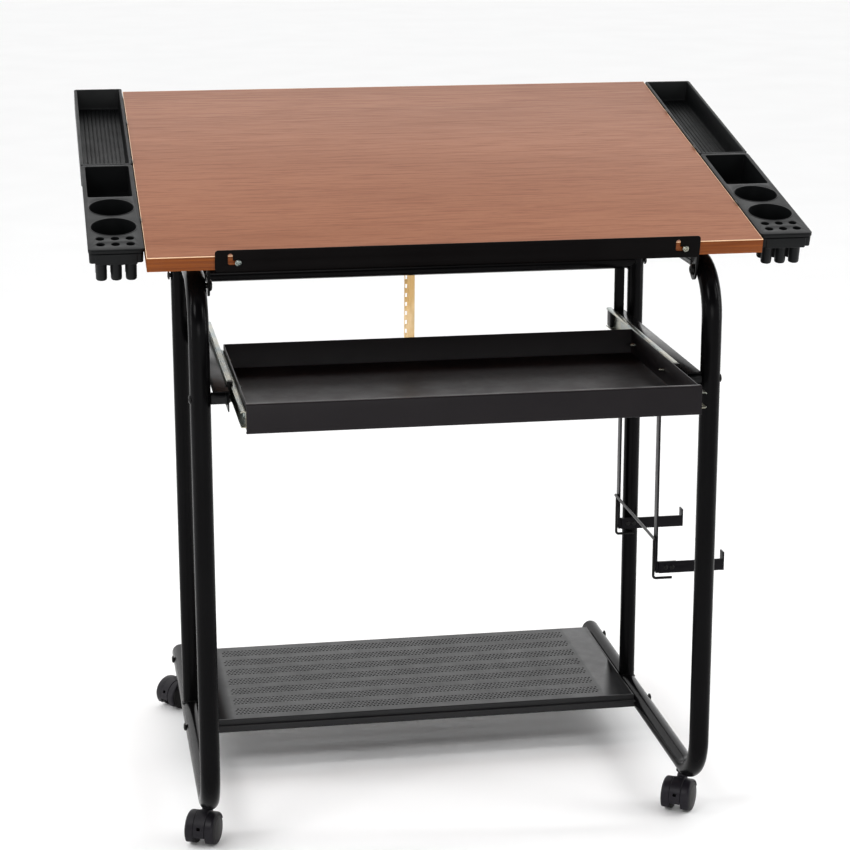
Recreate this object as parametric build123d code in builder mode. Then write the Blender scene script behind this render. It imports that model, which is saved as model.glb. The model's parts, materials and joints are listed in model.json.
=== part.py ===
from build123d import *
import os
from math import cos, radians, sin

# Drafting table: tilting wooden board on a bent-tube frame, with side trays, a sliding drawer,
# a lower shelf, a side rack and four twin-wheel casters. Millimetres, +Z up, +X to the right,
# -Y towards the person who sits at it. The origin is on the floor under the middle of the table.
# The frame, the pulled-out drawer and the turned casters stand as in daily use.

# ---- driving dimensions -------------------------------------------------------------------

# Frame tubes
tube_r = 12.7
tube_wall = 1.5
upright_r = 11.1
rail_r = 11.0
thin_wall = 1.2
side_x = 321.0
leg_y = -245.5
base_z = 63.0
top_z = 752.0
bottom_bend = 60.0
top_bend = 65.0
base_back_y = leg_y + 608.0
upright_y = leg_y + 379.0
top_back_y = leg_y + 425.0
cap_length = 3.0
cross_rail_z = 692.6
hanger_x = (291.0, 305.0)
hanger_half_t = 1.0
hanger_bolt_x = 298.0
hanger_bolt_z = 602.0
hanger_bolt_r = 2.5
frame_bolt_r = 3.0
frame_head_r = 5.5
spacer_r = 7.5
spacer_washer_r = 9.0

# Board and its hinge
board_w = 762.0
board_d = 609.6
board_t = 18.0
band_t = 0.6
tilt = 12.44
pivot_angle = 62.0
pivot_setback = 34.4
pivot_drop = 52.75
pivot_bolt_r = 4.0
running_gap = 0.05

# Drawer and slides
drawer_half_w = 275.0
drawer_front_y = leg_y - 120.0
drawer_back_y = leg_y + 215.0
drawer_bottom_z = 596.0
drawer_top_z = 630.0
drawer_front_z = (595.5, 631.5)
sheet_t = 1.2
slide_z = 613.0
slide_outer_half_h = 14.0
slide_inner_half_h = 10.0
slide_steel = 1.2
slide_outer_y = (leg_y + 25.0, leg_y + 375.0)
slide_inner_y = (drawer_front_y + 1.5, drawer_back_y)
slide_inner_x = (drawer_half_w, 282.5)
drawer_screw_y = (slide_inner_y[0] + 25, slide_inner_y[0] + 165, slide_inner_y[1] - 22)
screw_r = 2.0
slide_outer_x = (279.0, 286.8)
cage_y = (leg_y + 88.0, leg_y + 152.0)
ball_r = 1.1
side_rail_x = (286.8, 306.3)
side_rail_z = (596.0, 622.0)
side_rail_t = 1.5
spacer_z = 611.0

# Bottom shelf
shelf_half_w = 308.3
shelf_y = (leg_y + 287.0, leg_y + 579.5)
shelf_top_z = 76.5
shelf_skirt_z = 59.0
shelf_bolt_y = (leg_y + 298.0, leg_y + 571.0)
shelf_bolt_z = 66.0
shelf_step = 7.5
shelf_lip = 1.8
shelf_hem = 8.0

# Side trays, given across the table from its middle and along the board from its front edge
tray_x = (382.2, 449.2)
tray_shift = {"left": 7.0, "right": -7.0}
caddy_s = (20.0, 308.4)
bin_s = (309.0, 613.0)
tray_top = 1.0
caddy_depth = 18.0
bin_depth = 31.0
pocket_depth = 39.0
tray_floor = 2.0
tray_wall = 2.5
bin_wall = 4.0
bin_rib = (5.5, 1.4, 0.9)
pocket_s = (194.0, 302.0)
pocket_wall = 2.0
cup_s = (157.0, 93.0)
cup_r = 27.5
cup_depth = 38.0
cup_rim = 0.8
cup_wall = 2.0
pen_rows_s = (55.5, 37.5)
pen_pitch = 18.0
pen_r = 5.2
pen_wall = 1.6
pen_depth = 44.0

# Ledge along the front edge of the board
ledge_half_w = 300.0
ledge_t = 1.5
ledge_gap = 0.2
ledge_above = 7.5
ledge_below = 2.5
ledge_screw_x = (-272.0, 281.5)
ledge_slot_w = 6.0
ledge_slot_run = 9.5
ledge_slot_rise = 9.2

# Ratchet stay under the board
stay_hinge_s = pivot_setback + 370.0
stay_hinge_drop = 32.75
stay_lean = 3.22
stay_length = 310.0
stay_x = (-5.6, 9.0)
stay_t = 1.6
stay_flange = 6.0
stay_slot_pitch = 13.0
keeper_y = leg_y + 400.0
keeper_z = 692.6

# Side rack
rack_x = 300.0
rack_strap_w = 15.0
rack_strap_t = 2.0
rack_strap_y = (leg_y + 160.0, leg_y + 366.0)
rack_rest_z = (304.0, 320.0)
rack_rest_x = (303.0, 394.0)
rack_rod_r = 2.0
rack_rod_z = 351.0
rack_hook_z = 295.0
rack_hook_reach = 26.0

# Casters
caster_y = {"front": leg_y + 72.0, "rear": leg_y + 560.0}
caster_turn = {"front_left": -24.0, "front_right": -32.0, "rear_left": -54.0, "rear_right": -40.0}
caster_trail = 15.0
wheel_r = 20.0
wheel_w = 13.0
wheel_inner_x = 6.5
hood_r = 23.5
hood_inner_r = 21.3
stem_r = 4.0
axle_r = 3.0
socket_r = 5.5

# ---- places worked out from them ----------------------------------------------------------

pivot_y = leg_y + top_bend - top_bend * cos(radians(pivot_angle))
pivot_z = top_z - top_bend + top_bend * sin(radians(pivot_angle))
along = Vector(0, cos(radians(tilt)), sin(radians(tilt)))
up = Vector(0, -sin(radians(tilt)), cos(radians(tilt)))
board_corner = Vector(0, pivot_y, pivot_z) - along * pivot_setback + up * pivot_drop

# On the board's plane, x is across the table, y runs back along the board from its front edge,
# and 0 is the drawing surface.
board_plane = Plane(origin=board_corner, x_dir=(1, 0, 0), z_dir=up)


def board_side_plane(x):
    """Plane across the board at x, with its own x along the board and its y off the surface."""
    return Plane(origin=board_corner + Vector(x, 0, 0), x_dir=along, z_dir=(1, 0, 0))


stay_hinge = board_corner + along * stay_hinge_s - up * stay_hinge_drop
stay_up = Vector(0, -sin(radians(stay_lean)), cos(radians(stay_lean)))
stay_front = Vector(0, -cos(radians(stay_lean)), -sin(radians(stay_lean)))
stay_plane = Plane(origin=stay_hinge, x_dir=(1, 0, 0), z_dir=stay_front)
keeper_plane = Plane(origin=(0, keeper_y, keeper_z), x_dir=(1, 0, 0), z_dir=stay_front)

sides = {"left": -1, "right": 1}

# ---- building helpers ---------------------------------------------------------------------


def rod(start, direction, length, radius, mode=Mode.ADD):
    """Add or cut a round bar in the part that is being built."""
    with BuildSketch(Plane(origin=start, z_dir=direction)) as section:
        Circle(radius)
    extrude(section.sketch, amount=length, mode=mode)


def block(plane, x, y, z, mode=Mode.ADD):
    """Add or cut a block given by its low and high value on each axis of a plane."""
    with BuildSketch(plane.offset(z[0])) as section:
        with Locations(((x[0] + x[1]) / 2, (y[0] + y[1]) / 2)):
            Rectangle(abs(x[1] - x[0]), abs(y[1] - y[0]))
    extrude(section.sketch, amount=z[1] - z[0], mode=mode)


def span(sign, low, high):
    """A low to high distance from the middle, taken to the left or the right side."""
    return tuple(sorted((sign * low, sign * high)))


def dome_bolt(start, direction, length, radius, head_r, head_h):
    """A round-headed bolt: shank along direction from start, head behind start."""
    rod(start, direction, length, radius)
    head_plane = Plane(origin=start, z_dir=Vector(direction) * -1)
    with BuildSketch(head_plane) as head:
        Circle(head_r)
    extrude(head.sketch, amount=head_h, taper=25)


def nut(plane, radius, height):
    """A hexagon nut standing on a plane, closed over the end of its bolt."""
    with BuildSketch(plane) as hexagon:
        RegularPolygon(radius, 6)
    extrude(hexagon.sketch, amount=height)


def write(piece, name):
    """Label one finished piece and write it as a STEP file of the same name."""
    piece.part.label = name
    export_step(piece.part, f"parts/{name}.step")


os.makedirs("parts", exist_ok=True)

# ---- frame: bent side tubes, uprights and rails -------------------------------------------

for side, sign in sides.items():
    x = sign * side_x
    with BuildPart() as side_tube:
        with BuildLine() as route:
            FilletPolyline(
                (x, base_back_y, base_z),
                (x, leg_y, base_z),
                (x, leg_y, top_z),
                (x, top_back_y, top_z),
                radius=[bottom_bend, top_bend],
            )
        with BuildSketch(Plane(origin=route.line @ 0, z_dir=route.line % 0)):
            Circle(tube_r)
            Circle(tube_r - tube_wall, mode=Mode.SUBTRACT)
        sweep()
        for y in caster_y.values():
            rod((x, y, base_z), (0, 0, -1), 2 * tube_r, socket_r, Mode.SUBTRACT)
        inner_x = sign * (side_x - 2 * tube_r)
        rod((inner_x, pivot_y, pivot_z), (sign, 0, 0), 3 * tube_r, pivot_bolt_r, Mode.SUBTRACT)
        rod((inner_x, leg_y, spacer_z), (sign, 0, 0), 4 * tube_r, frame_bolt_r, Mode.SUBTRACT)
        for y in shelf_bolt_y:
            start = (inner_x, y, shelf_bolt_z)
            rod(start, (sign, 0, 0), 4 * tube_r, frame_bolt_r, Mode.SUBTRACT)
    write(side_tube, f"side_tube_{side}")

    with BuildPart() as upright:
        with BuildSketch(Plane.XY.offset(base_z)):
            with Locations((x, upright_y)):
                Circle(upright_r)
                Circle(upright_r - thin_wall, mode=Mode.SUBTRACT)
        extrude(amount=top_z - base_z)
        for z in (base_z, top_z):
            rod((x, upright_y - 50, z), (0, 1, 0), 100, tube_r, Mode.SUBTRACT)
        rod((x - 20, upright_y, cross_rail_z), (1, 0, 0), 40, frame_bolt_r, Mode.SUBTRACT)
    write(upright, f"rear_upright_{side}")

with BuildPart() as cross_rail:
    with BuildSketch(Plane.YZ.offset(-side_x)):
        with Locations((upright_y, cross_rail_z)):
            Circle(rail_r)
            Circle(rail_r - thin_wall, mode=Mode.SUBTRACT)
    extrude(amount=2 * side_x)
    for sign in sides.values():
        rod((sign * side_x, upright_y, cross_rail_z - 30), (0, 0, 1), 60, upright_r, Mode.SUBTRACT)
write(cross_rail, "top_cross_rail")

with BuildPart() as hanger_strips:
    for sign in sides.values():
        strip_y = (upright_y - hanger_half_t, upright_y + hanger_half_t)
        block(Plane.XY, span(sign, *hanger_x), strip_y, (hanger_bolt_z - 9, cross_rail_z))
        hole = (sign * hanger_bolt_x, upright_y - 5, hanger_bolt_z)
        rod(hole, (0, 1, 0), 10, hanger_bolt_r, Mode.SUBTRACT)
    rod((-side_x, upright_y, cross_rail_z), (1, 0, 0), 2 * side_x, rail_r, Mode.SUBTRACT)
write(hanger_strips, "hanger_strips")

for side, sign in sides.items():
    web_x = span(sign, side_rail_x[0], side_rail_x[0] + side_rail_t)
    tab_y = (upright_y - hanger_half_t - side_rail_t, upright_y - hanger_half_t)
    with BuildPart() as side_rail:
        block(Plane.XY, web_x, (leg_y - 12, tab_y[1]), side_rail_z)
        flange_z = (side_rail_z[1] - side_rail_t, side_rail_z[1])
        block(Plane.XY, span(sign, *side_rail_x), (leg_y - 12, tab_y[1]), flange_z)
        tab_x = span(sign, side_rail_x[0], hanger_x[1])
        block(Plane.XY, tab_x, tab_y, (side_rail_z[0], hanger_bolt_z + 10))
        rod((sign * 280, leg_y, spacer_z), (sign, 0, 0), 15, frame_bolt_r, Mode.SUBTRACT)
        hole = (sign * hanger_bolt_x, upright_y - 5, hanger_bolt_z)
        rod(hole, (0, 1, 0), 10, hanger_bolt_r, Mode.SUBTRACT)
    write(side_rail, f"side_rail_{side}")

with BuildPart() as rail_spacers:
    washer_x = side_rail_x[0] + side_rail_t
    leg_inner_x = side_x - tube_r
    for sign in sides.values():
        start = (sign * washer_x, leg_y, spacer_z)
        rod(start, (sign, 0, 0), 2.0, spacer_washer_r)
        rod(start, (sign, 0, 0), leg_inner_x - washer_x, spacer_r)
        rod(start, (sign, 0, 0), 30, frame_bolt_r, Mode.SUBTRACT)
write(rail_spacers, "rail_spacers")

with BuildPart() as frame_bolts:
    for sign in sides.values():
        outside = sign * (side_x + tube_r)
        for y in shelf_bolt_y:
            start = (outside, y, shelf_bolt_z)
            dome_bolt(start, (-sign, 0, 0), 27.5, frame_bolt_r, frame_head_r, 3.0)
        upright_outside = sign * (side_x + upright_r)
        start = (upright_outside, upright_y, cross_rail_z)
        dome_bolt(start, (-sign, 0, 0), 40, frame_bolt_r, frame_head_r + 0.5, 4.5)
        start = (outside, leg_y, spacer_z)
        dome_bolt(start, (-sign, 0, 0), 47.5, frame_bolt_r, frame_head_r, 2.0)
        nut(Plane(origin=(sign * side_rail_x[0], leg_y, spacer_z), z_dir=(-sign, 0, 0)), 5.0, 2.5)
        hanger_x_mid = sign * hanger_bolt_x
        start = (hanger_x_mid, upright_y - hanger_half_t - side_rail_t, hanger_bolt_z)
        dome_bolt(start, (0, 1, 0), 5, hanger_bolt_r, 4.5, 2.5)
        behind = (hanger_x_mid, upright_y + hanger_half_t, hanger_bolt_z)
        nut(Plane(origin=behind, z_dir=(0, 1, 0)), 4.4, 2.5)
write(frame_bolts, "frame_bolts")

with BuildPart() as tube_end_caps:
    for sign in sides.values():
        for y, z in ((base_back_y, base_z), (top_back_y, top_z)):
            with BuildSketch(Plane(origin=(sign * side_x, y, z), z_dir=(0, 1, 0))):
                Circle(tube_r)
            extrude(amount=cap_length, taper=30)
            rod((sign * side_x, y, z), (0, -1, 0), 12, tube_r - tube_wall)
write(tube_end_caps, "tube_end_caps")

with BuildPart() as hinge_bolts:
    for sign in sides.values():
        dome_bolt((sign * 304, pivot_y, pivot_z), (sign, 0, 0), 27, pivot_bolt_r, 7.0, 3.5)
write(hinge_bolts, "hinge_bolts")

# ---- bottom shelf -------------------------------------------------------------------------

with BuildPart() as shelf:
    lip_top_z = shelf_top_z - shelf_step
    full_x = (-shelf_half_w, shelf_half_w)
    block(Plane.XY, full_x, shelf_y, (shelf_top_z - sheet_t, shelf_top_z))
    for edge_y, out in ((shelf_y[0], -1), (shelf_y[1], 1)):
        wall_y = tuple(sorted((edge_y, edge_y - out * sheet_t)))
        lip_outer_y = edge_y + out * shelf_lip
        lip_y = tuple(sorted((lip_outer_y, lip_outer_y - out * sheet_t)))
        step_y = tuple(sorted((lip_outer_y, edge_y - out * sheet_t)))
        hem_y = tuple(sorted((lip_outer_y, edge_y - out * shelf_hem)))
        block(Plane.XY, full_x, wall_y, (lip_top_z - sheet_t, shelf_top_z))
        block(Plane.XY, full_x, step_y, (lip_top_z - sheet_t, lip_top_z))
        block(Plane.XY, full_x, lip_y, (shelf_skirt_z, lip_top_z))
        block(Plane.XY, full_x, hem_y, (shelf_skirt_z, shelf_skirt_z + sheet_t))
    for sign in sides.values():
        end_x = span(sign, shelf_half_w - sheet_t, shelf_half_w)
        block(Plane.XY, end_x, shelf_y, (shelf_skirt_z, shelf_top_z))
        for y in shelf_bolt_y:
            rod((sign * 300, y, shelf_bolt_z), (sign, 0, 0), 10, frame_bolt_r, Mode.SUBTRACT)
write(shelf, "bottom_shelf")

# ---- side rack ----------------------------------------------------------------------------

with BuildPart() as rack_straps:
    for y in rack_strap_y:
        strap_y = (y - rack_strap_w / 2, y + rack_strap_w / 2)
        strap_x = (rack_x - rack_strap_t / 2, rack_x + rack_strap_t / 2)
        strap_top = side_rail_z[1] - side_rail_t
        block(Plane.XY, strap_x, strap_y, (rack_rest_z[0], strap_top))
        block(Plane.XY, (rack_x - 10, strap_x[1]), strap_y, (strap_top - rack_strap_t, strap_top))
        tab_y = (strap_y[0], strap_y[0] + rack_strap_t)
        block(Plane.XY, (strap_x[0], rack_x + 27), tab_y, rack_rest_z)
        for rivet_x in (rack_x + 12, rack_x + 21):
            rod((rivet_x, y - 20, 312), (0, 1, 0), 30, 1.6, Mode.SUBTRACT)
write(rack_straps, "rack_straps")

with BuildPart() as rack_rests:
    for y in rack_strap_y:
        front = y - rack_strap_w / 2 - rack_strap_t
        rest_y = (front, front + rack_strap_t)
        block(Plane.XY, rack_rest_x, rest_y, rack_rest_z)
        end_x = (rack_rest_x[1] - rack_strap_t, rack_rest_x[1])
        block(Plane.XY, end_x, (front, front + 14), (rack_rest_z[0], rack_rest_z[1] + 9))
        for rivet_x in (rack_x + 12, rack_x + 21):
            rod((rivet_x, y - 20, 312), (0, 1, 0), 30, 1.6, Mode.SUBTRACT)
write(rack_rests, "rack_rests")

with BuildPart() as rack_rivets:
    for y in rack_strap_y:
        front = y - rack_strap_w / 2 - rack_strap_t
        for rivet_x in (rack_x + 12, rack_x + 21):
            dome_bolt((rivet_x, front, 312), (0, 1, 0), 2 * rack_strap_t, 1.6, 3.2, 1.2)
            back = front + 2 * rack_strap_t
            dome_bolt((rivet_x, back, 312), (0, -1, 0), 1.0, 1.6, 2.6, 1.0)
write(rack_rivets, "rack_rivets")

with BuildPart() as rack_rods:
    rod_x = rack_x - rack_strap_t / 2 - rack_rod_r
    first_y = rack_strap_y[0] - 6
    rod((rod_x, first_y, rack_rod_z), (0, 1, 0), rack_strap_y[1] + 6 - first_y, rack_rod_r)
    for y in rack_strap_y:
        hook_y = y - 2
        with BuildLine() as hook:
            FilletPolyline(
                (rod_x, hook_y, rack_rod_z),
                (rod_x, hook_y, rack_hook_z),
                (rod_x + rack_hook_reach, hook_y, rack_hook_z),
                radius=4,
            )
        with BuildSketch(Plane(origin=hook.line @ 0, z_dir=hook.line % 0)):
            Circle(rack_rod_r - 0.2)
        sweep(path=hook.line)
write(rack_rods, "rack_rods")

# ---- drawer slides ------------------------------------------------------------------------

for side, sign in sides.items():
    with BuildPart() as slide_outer:
        z_low = slide_z - slide_outer_half_h
        z_high = slide_z + slide_outer_half_h
        web = span(sign, slide_outer_x[1] - slide_steel, slide_outer_x[1])
        block(Plane.XY, web, slide_outer_y, (z_low, z_high))
        for low, high in ((z_low, z_low + slide_steel), (z_high - slide_steel, z_high)):
            block(Plane.XY, span(sign, *slide_outer_x), slide_outer_y, (low, high))
    write(slide_outer, f"slide_outer_{side}")

    with BuildPart() as slide_inner:
        z_low = slide_z - slide_inner_half_h
        z_high = slide_z + slide_inner_half_h
        web = span(sign, slide_inner_x[0], slide_inner_x[0] + slide_steel)
        block(Plane.XY, web, slide_inner_y, (z_low, z_high))
        for low, high in ((z_low, z_low + slide_steel), (z_high - slide_steel, z_high)):
            block(Plane.XY, span(sign, *slide_inner_x), slide_inner_y, (low, high))
        for y in drawer_screw_y:
            rod((sign * 270, y, slide_z), (sign, 0, 0), 10, screw_r, Mode.SUBTRACT)
    write(slide_inner, f"slide_inner_{side}")

    with BuildPart() as ball_cage:
        cage_x = span(sign, 279.8, 284.2)
        cage_web = span(sign, 283.6, 284.2)
        gap_z = slide_inner_half_h + 1.4
        block(Plane.XY, cage_web, cage_y, (slide_z - gap_z - 0.3, slide_z + gap_z + 0.3))
        for z in (slide_z - gap_z, slide_z + gap_z):
            block(Plane.XY, cage_x, cage_y, (z - 0.3, z + 0.3))
            for number in range(5):
                y = cage_y[0] + 8 + 12 * number
                rod((sign * 281.4, y, z - 1), (0, 0, 1), 2, ball_r + 0.1, Mode.SUBTRACT)
                with Locations((sign * 281.4, y, z)):
                    Sphere(ball_r)
    write(ball_cage, f"ball_cage_{side}")

with BuildPart() as slide_stops:
    for sign in sides.values():
        stop_y = (slide_outer_y[0] - 6, slide_outer_y[0])
        top = slide_z + slide_outer_half_h
        block(Plane.XY, span(sign, 283.2, 286.6), stop_y, (slide_z - 13, top - 0.5))
        block(Plane.XY, span(sign, 279.4, 286.6), stop_y, (slide_z + 10.8, top - 0.5))
write(slide_stops, "slide_stops")

# ---- drawer -------------------------------------------------------------------------------

with BuildPart() as drawer:
    floor_y = (drawer_front_y + sheet_t, drawer_back_y)
    full_x = (-drawer_half_w, drawer_half_w)
    block(Plane.XY, full_x, floor_y, (drawer_bottom_z, drawer_bottom_z + sheet_t))
    back_y = (drawer_back_y - sheet_t, drawer_back_y)
    block(Plane.XY, full_x, back_y, (drawer_bottom_z, drawer_top_z))
    for sign in sides.values():
        wall_x = span(sign, drawer_half_w - sheet_t, drawer_half_w)
        block(Plane.XY, wall_x, floor_y, (drawer_bottom_z, drawer_top_z))
    front_y = (drawer_front_y, drawer_front_y + sheet_t)
    panel_x = (-drawer_half_w - 0.8, drawer_half_w + 0.8)
    block(Plane.XY, panel_x, front_y, drawer_front_z)
    hem_y = (drawer_front_y, drawer_front_y + 9)
    hem_z = (drawer_front_z[1] - sheet_t, drawer_front_z[1])
    block(Plane.XY, full_x, hem_y, hem_z)
    for sign in sides.values():
        for y in drawer_screw_y:
            rod((sign * 270, y, slide_z), (sign, 0, 0), 10, screw_r, Mode.SUBTRACT)
write(drawer, "drawer_pan")

with BuildPart() as drawer_screws:
    for sign in sides.values():
        for y in drawer_screw_y:
            inside_x = drawer_half_w - sheet_t
            outside_x = drawer_half_w + slide_steel
            dome_bolt((sign * outside_x, y, slide_z), (-sign, 0, 0), 9, screw_r, 3.6, 1.5)
            nut(Plane(origin=(sign * inside_x, y, slide_z), z_dir=(-sign, 0, 0)), 4.0, 3.0)
write(drawer_screws, "drawer_screws")

# ---- board --------------------------------------------------------------------------------

bracket_screws = [(sign * x, s) for sign in (-1, 1) for x in (276, 292) for s in (20, 52)]
lug_screws = [(x, stay_hinge_s) for x in (-20, 24)]
clip_s = (120.0, 326.0, 475.0)
clip_screws = [(sign * 368, s) for sign in (-1, 1) for s in clip_s]
screw_depth = 12.0

with BuildPart() as board:
    half_w = board_w / 2 - band_t
    block(board_plane, (-half_w, half_w), (band_t, board_d - band_t), (-board_t, 0))
    with BuildSketch(board_plane.offset(-board_t)):
        with Locations(*(bracket_screws + lug_screws + clip_screws)):
            Circle(screw_r)
    extrude(amount=screw_depth, mode=Mode.SUBTRACT)
    for x in ledge_screw_x:
        start = board_plane.from_local_coords((x, 0, -board_t / 2))
        rod(start, along, 22, screw_r, Mode.SUBTRACT)
write(board, "board_panel")

with BuildPart() as edge_band:
    block(board_plane, (-board_w / 2, board_w / 2), (0, board_d), (-board_t, 0))
    half_w = board_w / 2 - band_t
    block(board_plane, (-half_w, half_w), (band_t, board_d - band_t), (-board_t, 0), Mode.SUBTRACT)
    for x in ledge_screw_x:
        start = board_plane.from_local_coords((x, -1, -board_t / 2))
        rod(start, along, 5, screw_r, Mode.SUBTRACT)
write(edge_band, "board_edge_band")

with BuildPart() as hinge_brackets:
    for sign in sides.values():
        ear_x = 304.3 if sign > 0 else -306.8
        with BuildSketch(board_side_plane(ear_x)):
            with Locations((pivot_setback, -board_t - 3)):
                Rectangle(28, 6)
            with Locations((pivot_setback, -pivot_drop)):
                Circle(13)
            make_hull()
            with Locations((pivot_setback, -pivot_drop)):
                Circle(pivot_bolt_r + running_gap, mode=Mode.SUBTRACT)
        extrude(amount=2.5)
        plate_z = (-board_t - 2.5, -board_t)
        block(board_plane, span(sign, 268, 306.8), (14, 56), plate_z)
    with BuildSketch(board_plane.offset(-board_t - 5)):
        with Locations(*bracket_screws):
            Circle(screw_r)
    extrude(amount=10, mode=Mode.SUBTRACT)
write(hinge_brackets, "hinge_brackets")

with BuildPart() as board_screws:
    for x, s in bracket_screws:
        start = board_plane.from_local_coords((x, s, -board_t - 2.5))
        dome_bolt(start, up, screw_depth, screw_r, 4.2, 1.8)
    for x, s in lug_screws:
        start = board_plane.from_local_coords((x, s, -board_t - 2.0))
        dome_bolt(start, up, screw_depth, screw_r, 4.2, 1.8)
    for x, s in clip_screws:
        start = board_plane.from_local_coords((x, s, -board_t - 1.5))
        dome_bolt(start, up, screw_depth, screw_r, 4.2, 1.8)
    for x in ledge_screw_x:
        start = board_plane.from_local_coords((x, -ledge_t - 2 * ledge_gap, -board_t / 2))
        dome_bolt(start, along, 20, screw_r, 4.2, 1.8)
write(board_screws, "board_screws")

# ---- ledge --------------------------------------------------------------------------------

ledge_plane = Plane(
    origin=board_corner - along * ledge_gap,
    x_dir=(1, 0, 0),
    z_dir=along * -1,
)
with BuildPart() as ledge:
    with BuildSketch(ledge_plane):
        with Locations((0, (ledge_above - board_t - ledge_below) / 2)):
            RectangleRounded(2 * ledge_half_w, ledge_above + board_t + ledge_below, 4)
        for x in ledge_screw_x:
            corner_x = x - ledge_slot_run
            with BuildLine():
                Polyline(
                    (x, -board_t / 2),
                    (corner_x, -board_t / 2),
                    (corner_x, -board_t / 2 + ledge_slot_rise),
                )
            trace(line_width=ledge_slot_w, mode=Mode.SUBTRACT)
            for place in (
                (x, -board_t / 2),
                (corner_x, -board_t / 2),
                (corner_x, -board_t / 2 + ledge_slot_rise),
            ):
                with Locations(place):
                    Circle(ledge_slot_w / 2, mode=Mode.SUBTRACT)
    extrude(amount=ledge_t)
write(ledge, "front_ledge")

# ---- side trays ---------------------------------------------------------------------------

rib_pitch, rib_w, rib_h = bin_rib
bin_floor_z = tray_top - bin_depth + tray_floor
pocket_low_z = tray_top - pocket_depth


def shifted(ends, move):
    """A low and high position, both moved along the board."""
    return ends[0] + move, ends[1] + move


for side, sign in sides.items():
    tray_mid_x = sign * (tray_x[0] + tray_x[1]) / 2
    move = tray_shift[side]

    with BuildPart() as tray_bin:
        outer_s = shifted(bin_s, move)
        block(board_plane, span(sign, *tray_x), outer_s, (tray_top - bin_depth, tray_top))
        well_s = (outer_s[0] + bin_wall, outer_s[1] - bin_wall)
        well_x = span(sign, tray_x[0] + bin_wall, tray_x[1] - bin_wall)
        block(board_plane, well_x, well_s, (bin_floor_z, tray_top), Mode.SUBTRACT)
        with BuildSketch(board_plane.offset(bin_floor_z)):
            with Locations((tray_mid_x, (well_s[0] + well_s[1]) / 2)):
                with GridLocations(rib_pitch, 0, 10, 1):
                    Rectangle(rib_w, well_s[1] - well_s[0] - 6)
        extrude(amount=rib_h)
    write(tray_bin, f"tray_bin_{side}")

    with BuildPart() as tray_caddy:
        outer_s = shifted(caddy_s, move)
        with BuildSketch(board_plane.offset(tray_top - caddy_depth)):
            with Locations((tray_mid_x, (outer_s[0] + outer_s[1]) / 2)):
                RectangleRounded(tray_x[1] - tray_x[0], outer_s[1] - outer_s[0], 6)
        extrude(amount=caddy_depth)
        hollow_x = span(sign, tray_x[0] + tray_wall, tray_x[1] - tray_wall)
        hollow_s = (outer_s[0] + tray_wall, outer_s[1] - tray_wall)
        hollow_z = (tray_top - caddy_depth, tray_top - tray_wall)
        block(board_plane, hollow_x, hollow_s, hollow_z, Mode.SUBTRACT)
        inner_s = shifted(pocket_s, move)
        inner_x = span(sign, tray_x[0] + 5.5, tray_x[1] - 5.5)
        around_s = (inner_s[0] - pocket_wall, inner_s[1] + pocket_wall)
        around_x = (inner_x[0] - pocket_wall, inner_x[1] + pocket_wall)
        block(board_plane, around_x, around_s, (pocket_low_z, tray_top))
        block(board_plane, inner_x, inner_s, (pocket_low_z + tray_floor, tray_top), Mode.SUBTRACT)
        steps = (-1, 0, 1)
        pens = [(tray_mid_x + pen_pitch * step, s + move) for s in pen_rows_s for step in steps]
        cups = [(tray_mid_x, s + move) for s in cup_s]
        with BuildSketch(board_plane.offset(tray_top - cup_depth - tray_floor)):
            with Locations(*cups):
                Circle(cup_r + cup_wall)
        extrude(amount=cup_depth + tray_floor + cup_rim)
        with BuildSketch(board_plane.offset(tray_top - pen_depth - 1)):
            with Locations(*pens):
                Circle(pen_r + pen_wall)
        extrude(amount=pen_depth + 1)
        with BuildSketch(board_plane.offset(tray_top - cup_depth)):
            with Locations(*cups):
                Circle(cup_r)
        extrude(amount=cup_depth + 5, mode=Mode.SUBTRACT)
        with BuildSketch(board_plane.offset(tray_top - pen_depth)):
            with Locations(*pens):
                Circle(pen_r)
        extrude(amount=pen_depth + 5, mode=Mode.SUBTRACT)
    write(tray_caddy, f"tray_caddy_{side}")

with BuildPart() as tray_clips:
    for sign in sides.values():
        gap_x = span(sign, board_w / 2, tray_x[0])
        foot_x = span(sign, 358, tray_x[0])
        for s in clip_s:
            clip_ends = (s - 7, s + 7)
            block(board_plane, gap_x, clip_ends, (-board_t - 1.5, 2.0))
            block(board_plane, foot_x, clip_ends, (-board_t - 1.5, -board_t))
            hole = board_plane.from_local_coords((sign * 368, s, -board_t - 5))
            rod(hole, up, 10, screw_r, Mode.SUBTRACT)
write(tray_clips, "tray_clips")

# ---- ratchet stay -------------------------------------------------------------------------

with BuildPart() as stay_lug:
    lug_z = (-board_t - 2.0, -board_t)
    block(board_plane, (-28, 32), (stay_hinge_s - 11, stay_hinge_s + 11), lug_z)
    for x in (-9.5, 11.0):
        with BuildSketch(board_side_plane(x)):
            with Locations((stay_hinge_s, -board_t - 1)):
                Rectangle(20, 2)
            with Locations((stay_hinge_s, -stay_hinge_drop)):
                Circle(7)
            make_hull()
            with Locations((stay_hinge_s, -stay_hinge_drop)):
                Circle(2.5, mode=Mode.SUBTRACT)
        extrude(amount=2)
    with BuildSketch(board_plane.offset(-board_t - 5)):
        with Locations(*lug_screws):
            Circle(screw_r)
    extrude(amount=10, mode=Mode.SUBTRACT)
write(stay_lug, "stay_lug")

with BuildPart() as stay_pin:
    pin_start = stay_hinge + Vector(-9.5, 0, 0)
    dome_bolt(pin_start, (1, 0, 0), 24, 2.5, 4.0, 2.0)
write(stay_pin, "stay_pin")

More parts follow.
